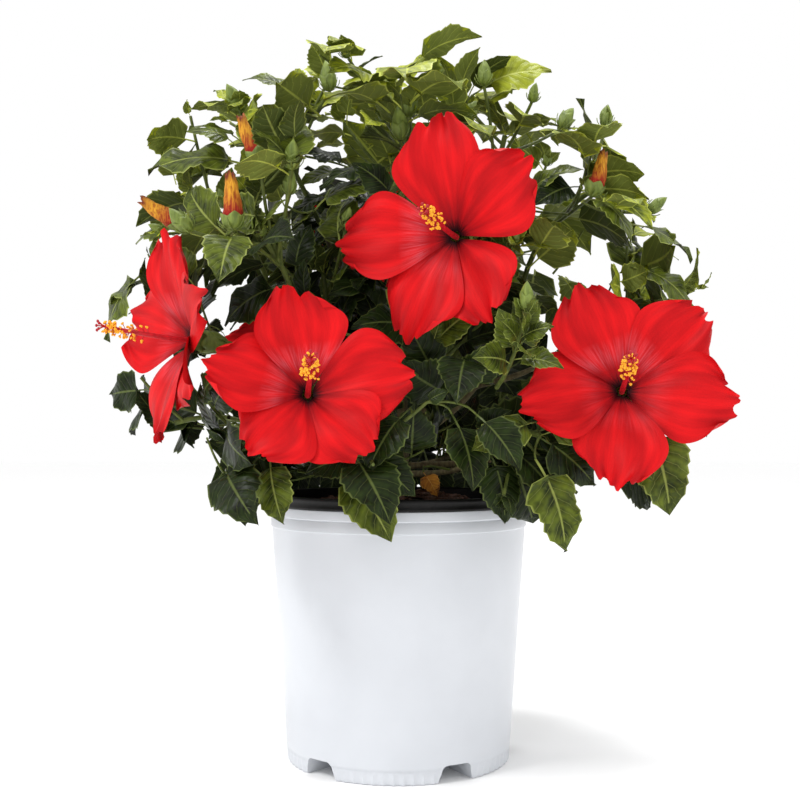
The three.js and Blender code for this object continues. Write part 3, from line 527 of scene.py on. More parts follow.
def leaf_frame(root, tangent, angle, opening, sag, roll):
    """Where a leaf runs from its shoot, and which way its upper face looks: up and out of the crown."""
    level = np.array([0.0, 1.0, 0.0]) if abs(tangent[2]) > 0.9 else UP
    across = unit(np.cross(tangent, level))
    ray = across * math.cos(math.radians(angle)) + np.cross(tangent, across) * math.sin(math.radians(angle))
    outward = unit(root - np.array([0, 0, CROWN["centre"]]))
    run = tangent * math.cos(math.radians(opening)) + ray * math.sin(math.radians(opening))
    run[2] -= sag
    run = unit(run + outward * max(0, 0.2 - run @ outward))
    face = outward + UP * LEAF["skyward"]
    face = turned(unit(face - run * (face @ run)), run, roll)
    return dict(root=root - run * 0.3, run=run, face=face, side=np.cross(run, face))


def to_segment(points, a, b):
    t = np.clip(((points - a) @ (b - a)) / ((b - a) @ (b - a)), 0, 1)
    return np.linalg.norm(points - (a + t[:, None] * (b - a)), axis=1)


def to_facet(points, a, b, c):
    """Distance from each point to a triangle."""
    normal = unit(np.cross(b - a, c - a))
    inside = np.ones(len(points), bool)
    edge = np.full(len(points), np.inf)
    for p, q in ((a, b), (b, c), (c, a)):
        inside &= (points - p) @ np.cross(normal, q - p) >= 0
        edge = np.minimum(edge, to_segment(points, p, q))
    return np.where(inside, np.abs((points - a) @ normal), edge)


blade_samples = []
blade_heads = []
shoot_points = []  # for each shoot its own points, and its bud's

LEAF_TURNS = (0, 36, -36, 72, -72, 108, -108, 180)
LEAF_TRIES = [(turn, share) for share in (1, 0.75) for turn in LEAF_TURNS]


def meets_blade(blade, clearance):
    if not blade_heads:
        return False
    close = np.flatnonzero(np.linalg.norm(np.array(blade_heads) - blade[0], axis=1) < NEAR["leaf"])
    if not len(close):
        return False
    others = np.concatenate([blade_samples[i] for i in close])
    return (apart(blade, others) < clearance).any()


def crowded(blade, corners, own):
    """Whether a leaf meets another leaf, or a shoot other than its own, or its bud."""
    root, left, right, ridge, tip = corners
    if meets_blade(blade, CLEAR["leaf"]):
        return True
    facets = ((root, ridge, left), (root, right, ridge), (left, ridge, tip), (right, tip, ridge))
    for shoot in shoot_points:
        if shoot is own:
            continue
        for points, clearance in ((shoot["points"], CLEAR["shoot"]), (shoot["bud_points"], CLEAR["bud"])):
            if not len(points) or np.linalg.norm(points - root, axis=1).min() > NEAR["shoot"]:
                continue
            if min(to_facet(points, *facet).min() for facet in facets) < clearance:
                return True
    return False


def keep_blade(blade):
    blade_samples.append(blade)
    blade_heads.append(blade[0])


leaves = []  # each placed leaf: its frame, length, mass, age from 0 old to 1 young, and a marked one's finish


def grow_leaves(mass, shoot, draw, sagginess):
    """Leaves stand round a shoot in a spiral, largest at its foot."""
    path, steps, nodes, bare = shoot["path"], shoot["steps"], shoot["nodes"], shoot["bare"]
    first = draw() * 360
    for i in range(nodes):
        along = i / (nodes - 1)
        length = lerp(LEAF["longest"], LEAF["shortest"], smooth(along)) * (0.9 + 0.2 * draw())
        opening = lerp(84, 46, along) + 12 * (draw() - 0.5)
        sag = sagginess * (0.6 + 0.5 * draw()) * (1 - 0.4 * (i / nodes))
        roll = math.radians(LEAF["roll"]) * (2 * draw() - 1)
        place = lerp(bare, 0.94, along)
        root, tangent = on_rod(path, steps, place), path.tangent(place)
        for turn, share in LEAF_TRIES:
            at = leaf_frame(root, tangent, first + i * LEAF["divergence"] + turn, opening, sag, roll)
            corners = leaf_corners(at, length * share)
            samples = leaf_samples(corners)
            blade = samples[STALK_SAMPLES:]
            if not has_room(mass, samples) or crowded(blade, corners, shoot):
                continue
            keep_blade(blade)
            leaves.append(dict(at=at, length=length * share, mass=mass, young=0.35 * along))
            break


def make_shoot(start, toward, end, form, bud=None):
    bend = start + toward * np.linalg.norm(end - start) * 0.5
    path = Path(start, bend, end)
    points = np.array([on_rod(path, form["steps"], 0.16 + 0.04 * i) for i in range(22)])
    bud_points = [end + bud["point"] * bud["length"] * share for share in (0.2, 0.5, 0.8)] if bud else []
    return dict(
        path=path, steps=form["steps"], nodes=form["nodes"], bare=form["bare"],
        points=points, bud=bud, bud_points=np.array(bud_points),
    )


def shoot_has_room(mass, points):
    """Whether a shoot keeps to its mass and clear of blooms, stalks and other limbs than its bough."""
    return (
        in_cell(mass, points)
        and not in_bloom_room(points, 6)
        and not near_limb(points, 3, f"bough_{mass}")
        and not near_stalk(points, 3)
    )


def plan(name, heart, count, spread, turn, seed):
    """A mass's stem on from its bough's tip, and the shoots that fan from it."""
    draw = stream(seed)
    bough = limbs[f"bough_{name}"]
    onward = bough["path"].tangent(1)
    foot = bough["path"].at(1) + onward * GAP
    stem = make_shoot(foot, onward, hearts[name], STEM)
    own = [stem]
    axis = stem["path"].tangent(1)
    level = unit(np.cross(axis, UP))
    for owner, bud_foot, points, length, _ in BUDDED:
        if owner != name:
            continue
        end = np.array(bud_foot, float)
        start = on_rod(stem["path"], STEM["steps"], STEM["budded"])
        toward = unit(unit(end - start) + axis * 0.5)
        own.append(make_shoot(start, toward, end, BUDDED_SHOOT, dict(point=heading(*points), length=length)))
    for k in range(count):
        around = math.radians(turn + (360 / count) * k + 30 * (draw() - 0.5))
        tilt = math.radians(spread * (0.8 + 0.4 * draw()))
        toward = axis * math.cos(tilt) + turned(level, axis, around) * math.sin(tilt)
        span = SHOOT["length"] * (0.85 + 0.3 * draw())
        start = on_rod(stem["path"], STEM["steps"], 0.62 + 0.34 * ((k + 0.5) / count))
        for share in (1, 0.8, 0.6):
            end = start + toward * span * share + UP * span * share * 0.14
            trial = make_shoot(start, toward, end, SHOOT)
            if shoot_has_room(name, trial["points"]):
                own.append(trial)
                break
    shoot_points.extend(own)
    return dict(name=name, heart=heart, own=own, draw=draw, foot_radius=bough["radius"](1))


def droop_of(growth, least):
    """How much a mass's leaves hang: most low down, and least at the top."""
    return min(0.9, max(least, 0.9 - (growth["heart"][2] - 240) / 900))


growths = [plan(*mass) for mass in MASSES]
for growth in growths:
    for shoot in growth["own"]:
        grow_leaves(growth["name"], shoot, growth["draw"], droop_of(growth, 0.5))

# ---------------------------------------------------------------- finer twigs and leaves, in the same reach

sight_points = []  # through each bud and out of the crown before it
for _, bud_foot, points, length, _ in BUDDED:
    middle = np.array(bud_foot, float) + heading(*points) * length * 0.5
    before = unit(middle * (1, 1, 0))
    for away in range(0, BUD_SIGHT["reach"] + 1, BUD_SIGHT["step"]):
        sight_points.append(middle + before * away)
sight_points = np.array(sight_points)


def samples_of(at, length):
    return leaf_samples(leaf_corners(at, length))


def hides_bud(samples):
    return (apart(samples, sight_points) < BUD_SIGHT["clear"]).any()


def small_leaf(mass, root, tangent, angle, opening, sag, roll, length, young, hang=0):
    """One finer leaf, turned about its twig until it has room, or left out."""
    if length < TUFT["tiny"]:
        at = leaf_frame(root, tangent, angle, opening, sag, roll)
        if in_bloom_room(samples_of(at, length), TUFT["bloom"]):
            return False
        leaves.append(dict(at=at, length=length, mass=mass, young=young))
        return True
    for turn in LEAF_TURNS:
        at = leaf_frame(root, tangent, angle + turn, opening, sag, roll)
        samples = samples_of(at, length)
        blade = samples[STALK_SAMPLES:]
        if not has_room(mass, samples, hang) or hides_bud(samples) or meets_blade(blade, FINE_CLEAR):
            continue
        keep_blade(blade)
        leaves.append(dict(at=at, length=length, mass=mass, young=young))
        return True
    return False


twigs = []  # path, foot radius, tip radius
tip_buds = []  # foot, direction, length


def grow_twig(mass, start, toward, draw, droop, hang=0):
    """A finer twig with its leaves, left out where it has no room or none of them has."""
    span = TWIG["length"] * (0.8 + 0.5 * draw())
    end = start + toward * span + UP * span * 0.2
    path = Path(start, start + toward * span * 0.5, end)
    points = path.laid(np.linspace(0.3, 1, 8))
    if not in_crown(points, hang) or not shoot_has_room(mass, points):
        return
    first = draw() * 360
    grown = 0
    for i in range(TWIG["leaves"]):
        along = i / (TWIG["leaves"] - 1)
        length = lerp(TWIG["longest"], TWIG["shortest"], along) * (0.85 + 0.3 * draw())
        opening = lerp(70, 34, along)
        sag = droop * (0.4 + 0.5 * draw()) * (1 - 0.5 * along)
        roll = math.radians(LEAF["roll"]) * (2 * draw() - 1)
        place = lerp(0.4, 1.0, along)
        root, tangent = path.at(place), path.tangent(min(place, 0.99))
        angle, young = first + i * LEAF["divergence"], 0 if hang else 0.35 + 0.4 * along
        grown += small_leaf(mass, root, tangent, angle, opening, sag, roll, length, young, hang)
    if grown:
        twigs.append((path, TWIG["foot"], TWIG["tip"]))


def grow_tuft(mass, shoot, draw):
    """The cluster of young leaves at a shoot's tip, and at times a small bud in it."""
    end, tangent = shoot["path"].at(1), shoot["path"].tangent(1)
    first = draw() * 360
    for i in range(TUFT["leaves"]):
        along = i / (TUFT["leaves"] - 1)
        length = lerp(TUFT["longest"], TUFT["shortest"], along) * (0.85 + 0.3 * draw())
        opening = lerp(58, 14, along)
        roll = math.radians(20) * (2 * draw() - 1)
        small_leaf(mass, end, tangent, first + i * LEAF["divergence"], opening, 0.05, roll, length, 0.9)
    if end[2] > TIP_BUD["above"] and draw() < TIP_BUD["share"]:
        tip_buds.append((end, unit(tangent + UP * 0.6), TIP_BUD["length"] * (0.8 + 0.5 * draw())))


def set_marked_leaf(root, tip, roll, finish):
    """A leaf at a stated place, moved a little until it clears its neighbours, on a twig of its own."""
    root, tip = np.array(root, float), np.array(tip, float)
    run = unit(tip - root)
    length = np.linalg.norm(tip - root) / LEAF["tip"]
    face = unit(root - np.array([0, 0, CROWN["centre"]])) + UP * 0.5
    face = turned(unit(face - run * (face @ run)), run, math.radians(roll))
    for shift in SHIFTS:
        at = dict(root=root + shift, run=run, face=face, side=np.cross(run, face))
        samples = samples_of(at, length)
        blade = samples[STALK_SAMPLES:]
        if in_bloom_room(samples, 0) or in_pot(samples, 1) or meets_blade(blade, FINE_CLEAR):
            continue
        keep_blade(blade)
        leaves.append(dict(at=at, length=length, mass="", young=0, tone=finish))
        ends = np.concatenate([limb_points] + [shoot["points"] for shoot in shoot_points])
        start = ends[np.argmin(np.linalg.norm(ends - at["root"], axis=1))]
        bent = at["root"] - run * np.linalg.norm(start - at["root"]) * 0.4
        twigs.append((Path(start, bent, at["root"]), TWIG["foot"], TWIG["tip"]))
        return


def set_sprig():
    """One small shoot with its leaves closing up to a bud at its tip."""
    draw = stream(SEEDS["sprig"])
    foot, tip = np.array(SPRIG["foot"], float), np.array(SPRIG["tip"], float)
    path = Path(foot, lerp(foot, tip, 0.4) + (4, -14, -6), tip)
    twigs.append((path, *SPRIG["radii"]))
    for i in range(SPRIG["leaves"]):
        along = i / (SPRIG["leaves"] - 1)
        place, length = lerp(0.4, 0.99, along), lerp(SPRIG["longest"], SPRIG["shortest"], along)
        angle, opening, sag = i * LEAF["divergence"], lerp(64, 18, along), 0.2 * (1 - along)
        at = leaf_frame(path.at(place), path.tangent(place), angle, opening, sag, 0.6 * (draw() - 0.5))
        samples = samples_of(at, length)
        if samples[:, 1].max() < SPRIG["front"]:
            leaves.append(dict(at=at, length=length, mass="", young=0.9, tone="leaf_mid"))
            keep_blade(samples[STALK_SAMPLES:])
    tip_buds.append((tip, unit(path.tangent(1) + UP), SPRIG["bud"]))


def set_fringe():
    for k, (root, tip) in enumerate(FRINGE["rows"]):
        for bearing in range(FRINGE["first"] + k * FRINGE["step"] // 2, FRINGE["last"], FRINGE["step"]):
            set_marked_leaf(polar(bearing, *root), polar(bearing + FRINGE["onward"], *tip), 0, "leaf_deep")


def grow_on_shoots(growth, draw):
    """The tufts and finer twigs of a mass's shoots; its highest shoots have fewer twigs."""
    fewer = growth["heart"][2] > UPPER["thinned_above"]
    for shoot in growth["own"]:
        if shoot["bud"] is None:
            grow_tuft(growth["name"], shoot, draw)
        for place in TWIG["places"][fewer:]:
            start, tangent = on_rod(shoot["path"], shoot["steps"], place), shoot["path"].tangent(place)
            at = leaf_frame(start, tangent, draw() * 360, 56, -0.1, 0)
            grow_twig(growth["name"], start, at["run"], draw, droop_of(growth, 0.4))


def grow_inside(draw):
    """Finer twigs on the boughs themselves, over the soil."""
    for name, limb in limbs.items():
        for place in INNER["places"]:
            start, tangent = limb["path"].at(place), limb["path"].tangent(place)
            inside = INNER["above"] < start[2] < INNER["below"] and np.hypot(*start[:2]) <= INNER["reach"]
            if name == "trunk" or not inside:
                continue
            mass = min(hearts, key=lambda own: np.linalg.norm(hearts[own] - start))
            at = leaf_frame(start, tangent, draw() * 360, 64, 0.1, 0)
            grow_twig(mass, start, at["run"], draw, 0.5, INNER["hang"])


leaves[:] = [leaf for leaf in leaves if not hides_bud(samples_of(leaf["at"], leaf["length"]))]
set_sprig()
for row in MARKED_LEAVES:
    set_marked_leaf(*row)
set_fringe()
for n, growth in enumerate(growths):
    grow_on_shoots(growth, stream(SEEDS["masses"] + n))
grow_inside(stream(SEEDS["inner"]))


def before_sky(point):
    """Whether a point is seen in one of the places where the sky shows."""
    near = CAMERA["distance"] / (CAMERA["distance"] + point[1])
    x, z = point[0] * near, lerp(CAMERA["height"], point[2], near)
    return any(x0 < x < x1 and z0 < z < z1 for x0, x1, z0, z1 in SKY)


def blade_middle(leaf):
    return samples_of(leaf["at"], leaf["length"])[STALK_SAMPLES:].mean(axis=0)


leaves[:] = [leaf for leaf in leaves if "tone" in leaf or not before_sky(blade_middle(leaf))]
twigs[:] = [twig for twig in twigs if not before_sky(twig[0].at(1))]
tip_buds[:] = [bud for bud in tip_buds if not before_sky(bud[0])]

# ---------------------------------------------------------------- nodes, materials

MIX, MATH, RANGE, BUMP = "ShaderNodeMix", "ShaderNodeMath", "ShaderNodeMapRange", "ShaderNodeBump"
NOISE, MAPPING, COORDINATES = "ShaderNodeTexNoise", "ShaderNodeMapping", "ShaderNodeTexCoord"
SPLIT, JOIN, UV_MAP, ATTRIBUTE = (
    "ShaderNodeSeparateXYZ", "ShaderNodeCombineXYZ", "ShaderNodeUVMap", "ShaderNodeAttribute",
)


def node(tree, kind, sockets=(), **settings):
    """Adds a node with its settings and inputs, each a value or a node's output; gives its outputs."""
    made = tree.nodes.new(kind)
    for key, value in settings.items():
        setattr(made, key, value)
    for key, value in dict(sockets).items():
        if isinstance(value, bpy.types.NodeSocket):
            tree.links.new(value, made.inputs[key])
        else:
            made.inputs[key].default_value = value
    return made.outputs


def linear(colour):
    """An sRGB hex colour as linear numbers, opaque."""
    parts = [int(colour[i:i + 2], 16) / 255 for i in (1, 3, 5)]
    return [c / 12.92 if c <= 0.04045 else ((c + 0.055) / 1.055) ** 2.4 for c in parts] + [1.0]


def finish_of(name, look):
    """A material whose look(tree) gives the values and links of its shader's inputs."""
    made = bpy.data.materials.new(name)
    made.use_nodes = True
    tree = made.node_tree
    tree.nodes.clear()
    shader = node(tree, "ShaderNodeBsdfPrincipled", look(tree))
    node(tree, "ShaderNodeOutputMaterial", {"Surface": shader[0]})
    return made


def leaf_look(blade, vein, under, roughness):
    """Leaf: a waxy cuticle over a blade puckered between sunken pale veins, duller beneath, with painted
    light and shade over its fold and puckers.
    """

    def look(tree):
        here = node(tree, COORDINATES)["Object"]
        uv = node(tree, SPLIT, {0: node(tree, UV_MAP, uv_map="UVMap")[0]})
        # Across is 0 at the midrib and 0.5 at the margin, on both faces.
        below = node(tree, MATH, {0: uv[0], 1: 1.5}, operation="GREATER_THAN")[0]
        shifted = node(tree, MATH, {0: below, 1: -UNDERSIDE, 2: uv[0]}, operation="MULTIPLY_ADD")[0]
        centred = node(tree, MATH, {0: shifted, 1: 0.5}, operation="SUBTRACT")[0]
        across = node(tree, MATH, {0: centred}, operation="ABSOLUTE")[0]
        midrib = node(tree, RANGE, {0: across, 1: 0.012, 2: 0.034, 3: 1.0, 4: 0.0})[0]
        slanted = node(tree, MATH, {0: across, 1: -0.6, 2: uv[1]}, operation="MULTIPLY_ADD")[0]
        wave = node(tree, MATH, {0: slanted, 1: 0.075}, operation="PINGPONG")[0]
        side_veins = node(tree, RANGE, {0: wave, 1: 0.0, 2: 0.009, 3: 0.5, 4: 0.0})[0]
        veins = node(tree, MATH, {0: midrib, 1: side_veins}, operation="MAXIMUM")[0]
        # The margin is painted pale as well: partly the leaf's own paler rim, partly a painted highlight
        # along its edge.
        rim = node(tree, RANGE, {0: across, 1: 0.455, 2: 0.485, 3: 0.0, 4: 1.0})[0]
        marked = node(tree, MATH, {0: veins, 1: rim}, operation="MAXIMUM")[0]
        pale = node(tree, MATH, {0: marked, 1: 0.6}, operation="MULTIPLY")[0]
        mottle = node(tree, NOISE, {"Vector": here, "Scale": 1 / (11 * MM), "Detail": 2.0})[0]
        uneven = node(tree, RANGE, {0: mottle, 1: 0.35, 2: 0.65})[0]
        puckers = node(tree, NOISE, {"Vector": here, "Scale": 1 / (8 * MM), "Detail": 1.0})[0]
        pillows = node(tree, MATH, {0: wave, 1: 6.0, 2: puckers}, operation="MULTIPLY_ADD")[0]
        relief = node(tree, MATH, {0: veins, 1: -0.3, 2: pillows}, operation="MULTIPLY_ADD")[0]
        # Painted light and shade: darker along the midrib's fold and beside the sunken veins, lighter over
        # the puckers between them and toward the margin, on top of the mottle's own uneven tone.
        fold_shade_and_mottle = node(tree, MATH, {0: across, 1: 1.2, 2: uneven}, operation="MULTIPLY_ADD")[0]
        swollen = node(tree, MATH, {0: wave, 1: 9.0, 2: fold_shade_and_mottle}, operation="MULTIPLY_ADD")[0]
        lit = node(tree, RANGE, {0: swollen, 1: 0.35, 2: 1.9})[0]
        skin = node(tree, MIX, {0: lit, 6: linear(blade[0]), 7: linear(blade[1])}, data_type="RGBA")[2]
        skin = node(tree, MIX, {0: below, 6: skin, 7: linear(under)}, data_type="RGBA")[2]
        return {
            "Base Color": node(tree, MIX, {0: pale, 6: skin, 7: linear(vein)}, data_type="RGBA")[2],
            "Roughness": node(tree, MATH, {0: below, 1: 0.25, 2: roughness}, operation="MULTIPLY_ADD")[0],
            "Specular IOR Level": 0.12,
            "Normal": node(tree, BUMP, {"Height": relief, "Distance": 2.0 * MM, "Strength": 0.4})[0],
        }

    return look


def petal_look(tree):
    """Petal: a soft matt skin under painted light and shade in broad patches, lines that fan from the claw, a
    dark throat and a pink blush beside it.
    """
    here = node(tree, COORDINATES)["Object"]
    uv = node(tree, SPLIT, {0: node(tree, UV_MAP, uv_map="UVMap")[0]})
    # Along is 0 at the claw and 1 at the rim, on both faces.
    back = node(tree, MATH, {0: uv[1], 1: 1.5}, operation="GREATER_THAN")[0]
    along = node(tree, MATH, {0: back, 1: -UNDERSIDE, 2: uv[1]}, operation="MULTIPLY_ADD")[0]
    flat = node(tree, JOIN, {0: uv[0], 1: along})[0]
    fan = node(tree, MAPPING, {0: flat, 3: (36.0, 3.4, 1.0)})[0]
    lines = node(tree, NOISE, {"Vector": fan, "Scale": 1.0, "Detail": 3.0, "Roughness": 0.6})[0]
    # Painted light and shade: broad lighter and darker patches across the petal, as over its folds.
    wide = node(tree, MAPPING, {0: flat, 3: (6.0, 1.4, 1.0)})[0]
    fold_shade = node(tree, NOISE, {"Vector": wide, "Scale": 1.0, "Detail": 1.0})[0]
    grain = node(tree, NOISE, {"Vector": here, "Scale": 1 / (1.2 * MM), "Detail": 1.0})[0]
    blushed = node(tree, ATTRIBUTE, attribute_name="blush")["Fac"]
    lit = node(tree, RANGE, {0: fold_shade, 1: 0.36, 2: 0.64})[0]
    skin = node(tree, MIX, {0: lit, 6: linear("#ac0b12"), 7: linear("#d81318")}, data_type="RGBA")[2]
    lined = node(tree, RANGE, {0: lines, 1: 0.34, 2: 0.56, 3: 0.17, 4: 0.0})[0]
    skin = node(tree, MIX, {0: lined, 6: skin, 7: linear("#860810")}, data_type="RGBA")[2]
    near = node(tree, RANGE, {0: along, 1: 0.15, 2: 0.24})[0]
    far = node(tree, RANGE, {0: along, 1: 0.2, 2: 0.42, 3: 1.0, 4: 0.0})[0]
    ring = node(tree, MATH, {0: near, 1: far}, operation="MULTIPLY")[0]
    streaks = node(tree, RANGE, {0: lines, 1: 0.42, 2: 0.72, 3: 0.04, 4: 0.5})[0]
    spread = node(tree, MATH, {0: ring, 1: blushed}, operation="MULTIPLY")[0]
    pink = node(tree, MATH, {0: spread, 1: streaks}, operation="MULTIPLY")[0]
    skin = node(tree, MIX, {0: pink, 6: skin, 7: linear("#f08290")}, data_type="RGBA")[2]
    rayed = node(tree, MATH, {0: lines, 1: -0.2, 2: along}, operation="MULTIPLY_ADD")[0]
    dark = node(tree, RANGE, {0: rayed, 1: -0.06, 2: 0.19, 3: 0.75, 4: 0.0})[0]
    skin = node(tree, MIX, {0: dark, 6: skin, 7: linear("#5e0510")}, data_type="RGBA")[2]
    black = node(tree, RANGE, {0: rayed, 1: -0.08, 2: 0.0, 3: 1.0, 4: 0.0})[0]
    skin = node(tree, MIX, {0: black, 6: skin, 7: linear("#1c0206")}, data_type="RGBA")[2]
    relief = node(tree, MATH, {0: grain, 1: 0.25, 2: lines}, operation="MULTIPLY_ADD")[0]
    return {
        "Base Color": skin,
        "Roughness": 0.5,
        "Specular IOR Level": 0.1,
        "Normal": node(tree, BUMP, {"Height": relief, "Distance": 0.45 * MM, "Strength": 0.6})[0],
    }


def plain_grain(colours, grain, roughness, depth, stretch=(1, 1, 1), shine=0.5):
    """A look of two colours in a grain of so many millimetres, with a relief of the same grain."""

    def look(tree):
        here = node(tree, MAPPING, {0: node(tree, COORDINATES)["Object"], 3: stretch})[0]
        pattern = node(tree, NOISE, {"Vector": here, "Scale": 1 / (grain * MM), "Detail": 4.0})[0]
        share = node(tree, RANGE, {0: pattern, 1: 0.32, 2: 0.68})[0]
        low, high = linear(colours[0]), linear(colours[1])
        return {
            "Base Color": node(tree, MIX, {0: share, 6: low, 7: high}, data_type="RGBA")[2],
            "Roughness": roughness,
            "Specular IOR Level": shine,
            "Normal": node(tree, BUMP, {"Height": pattern, "Distance": depth * MM})[0],
        }

    return look


def withered_look(tree):
    """Rolled petals that are over: papery, creased lengthwise, red at the foot, gold, brown at the tip."""
    here = node(tree, COORDINATES)["Object"]
    flat = node(tree, MAPPING, {0: here, 3: (1, 1, 0.1)})[0]
    creases = node(tree, NOISE, {"Vector": flat, "Scale": 1 / (1.5 * MM), "Detail": 3.0})[0]
    height = node(tree, ATTRIBUTE, attribute_name="height")["Fac"]
    uneven = node(tree, MATH, {0: creases, 1: 0.5, 2: height}, operation="MULTIPLY_ADD")[0]
    foot = node(tree, RANGE, {0: uneven, 1: 0.58, 2: 0.95})[0]
    skin = node(tree, MIX, {0: foot, 6: linear("#9a2016"), 7: linear("#d2942a")}, data_type="RGBA")[2]
    tip = node(tree, RANGE, {0: uneven, 1: 1.1, 2: 1.24})[0]
    skin = node(tree, MIX, {0: tip, 6: skin, 7: linear("#6a2a16")}, data_type="RGBA")[2]
    lined = node(tree, RANGE, {0: creases, 1: 0.36, 2: 0.54, 3: 0.6, 4: 0.0})[0]
    return {
        "Base Color": node(tree, MIX, {0: lined, 6: skin, 7: linear("#7c2410")}, data_type="RGBA")[2],
        "Roughness": 0.7,
        "Specular IOR Level": 0.2,
        "Normal": node(tree, BUMP, {"Height": creases, "Distance": 0.9 * MM})[0],
    }


LOOKS = {
    # Blow-moulded polyethylene, white: smooth and a little waxy, with the mould's faint unevenness.
    "moulded_white_can": plain_grain(("#d3d6db", "#cdd0d5"), 60, 0.32, 0.05, shine=0.3),
    # Black polyethylene of the rim: satin, scuffed.
    "moulded_black_rim": plain_grain(("#0b0a0a", "#151413"), 3, 0.45, 0.1, shine=0.2),
    # Damp peat: crumbly and dull.
    "damp_peat": plain_grain(("#120b07", "#271810"), 2, 0.95, 1.2),
    # Shredded bark: fibrous chips, dry on top.
    "bark_mulch": plain_grain(("#2a170e", "#5a3823"), 1.5, 0.9, 0.6, (1, 0.3, 1)),
    # Young shrub bark: grey-brown over green, with fine lengthwise cracks.
    "shrub_bark": plain_grain(("#4f452c", "#746b45"), 2.4, 0.8, 0.5, (1, 1, 0.3)),
    # Green wood of this season's shoots: smooth, slightly waxy.
    "green_wood": plain_grain(("#3d471c", "#626c30"), 5, 0.5, 0.15, (1, 1, 0.4), shine=0.2),
    # Leaves on top and outside: yellow-green, young leaves' colour and painted light, lifting the crown's
    # edge from its body.
    "leaf_bright": leaf_look(("#465411", "#a2aa2a"), "#c4cc5c", "#6c7634", 0.45),
    # Grown leaves: mid green with a soft sheen, the crown's main colour, between the painted light and the
    # painted shade.
    "leaf_mid": leaf_look(("#1e270a", "#5e6a20"), "#a0a956", "#414b20", 0.36),
    # Leaves low down and inside: near-black green, painted shade over old leaves' darker green, giving the
    # crown its depth.
    "leaf_deep": leaf_look(("#080d04", "#263311"), "#65713a", "#1e2610", 0.36),
    # A leaf about to turn: pale yellow-green all over, a single light accent at the top.
    "leaf_yellowing": leaf_look(("#767e20", "#9ca42c"), "#c0c668", "#8c9248", 0.45),
    # A dead leaf on the soil: ochre brown and matt.
    "leaf_withered": leaf_look(("#7c4318", "#b67c2c"), "#c8924a", "#6e4420", 0.6),
    # Petals: clear soft red with fine lines, the first thing the eye meets.
    "silky_petal": petal_look,
    # Staminal tube: fleshy, smooth, red to its tip.
    "stamen_tube": plain_grain(("#a00c18", "#c81a26"), 3, 0.45, 0.1),
    # Pollen: loose golden grains on each anther, matt.
    "pollen": plain_grain(("#f09014", "#fbc634"), 0.6, 0.85, 0.3),
    # Stigma pads: velvety, dark red.
    "stigma_velvet": plain_grain(("#8c0c18", "#b8202a"), 0.6, 0.8, 0.2),
    # Sepals: thin, ribbed, matt green.
    "sepal": plain_grain(("#586822", "#7c8c38"), 3, 0.6, 0.3, (1, 1, 0.3)),
    # Spent blooms: papery gold with a red foot, warm spots among the green.
    "withered_petal": withered_look,
}
FINISHES = {name: finish_of(name, look) for name, look in LOOKS.items()}

# ---------------------------------------------------------------- making pieces


def link(name, mesh):
    made = bpy.data.objects.new(name, mesh)
    bpy.context.scene.collection.objects.link(made)
    return made


def mesh_of(name, points, faces, uv=None, smooth_shaded=True, **attributes):
    """A mesh from points in millimetres; uv gives one pair for each corner of each face in turn."""
    mesh = bpy.data.meshes.new(name)
    mesh.from_pydata((np.asarray(points) * MM).tolist(), [], faces)
    if uv is not None:
        mesh.uv_layers.new(name="UVMap").data.foreach_set("uv", np.asarray(uv, np.float32).ravel())
    for key, values in attributes.items():
        mesh.attributes.new(key, "FLOAT", "POINT").data.foreach_set("value", np.asarray(values, np.float32))
    mesh.polygons.foreach_set("use_smooth", [smooth_shaded] * len(mesh.polygons))
    return mesh


def edited(mesh, change):
    bm = bmesh.new()
    bm.from_mesh(mesh)
    change(bm)
    bm.to_mesh(mesh)
    bm.free()
    return mesh


def recalculated(mesh):
    """The mesh with the front of every face outwards."""
    return edited(mesh, lambda bm: bmesh.ops.recalc_face_normals(bm, faces=bm.faces))


def merged(mesh):
    """The mesh with the points that lie on one another joined."""
    return edited(mesh, lambda bm: bmesh.ops.remove_doubles(bm, verts=bm.verts, dist=1e-6))


def sharpened(mesh, degrees):
    """The mesh with every edge that bends more than this left sharp."""
    mesh.set_sharp_from_angle(angle=math.radians(degrees))
    return mesh


def tube_faces(runs, sides):
    """The faces of a tube of so many runs between rings of points, and of its two ends."""
    faces = []
    for j in range(runs):
        for i in range(sides):
            n = (i + 1) % sides
            faces.append((j * sides + i, j * sides + n, (j + 1) * sides + n, (j + 1) * sides + i))
    return faces + [tuple(range(sides))[::-1], tuple(range(runs * sides, (runs + 1) * sides))]


def sheet_faces(rows, cols, place_on_map, under):
    """The faces of a grid of points and the map of their corners; under turns them over."""
    faces, uv = [], []
    for r in range(rows - 1):
        for c in range(cols - 1):
            corners = [(r, c), (r, c + 1), (r + 1, c + 1), (r + 1, c)]
            if under:
                corners.reverse()
            faces.append([a * cols + b for a, b in corners])
            uv += [place_on_map(a, b) for a, b in corners]
    return faces, uv


class Batch:
    """Gathers points, faces and maps of many small shapes for one joined mesh."""

    def __init__(self):
        self.points, self.faces, self.uv, self.marks = [], [], [], []

    def add(self, points, faces, uv=None, mark=0.0):
        """Adds a shape; mark is one number for all its points, or one for each."""
        base = sum(len(p) for p in self.points)
        self.points.append(np.asarray(points, float))
        self.faces += [tuple(base + i for i in face) for face in faces]
        self.marks += list(np.broadcast_to(mark, len(points)))
        if uv is not None:
            self.uv += uv

    def mesh(self, name, **more):
        return mesh_of(name, np.concatenate(self.points), self.faces, self.uv or None, **more)


def dress(obj, finish, slot, *nodes):
    """Gives a piece its finish, lets it ride, and hides the model's parts that it stands for."""
    obj.data.materials.clear()
    obj.data.materials.append(FINISHES[finish])
    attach(obj, "root")
    if nodes:
        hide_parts(*nodes)
    return obj


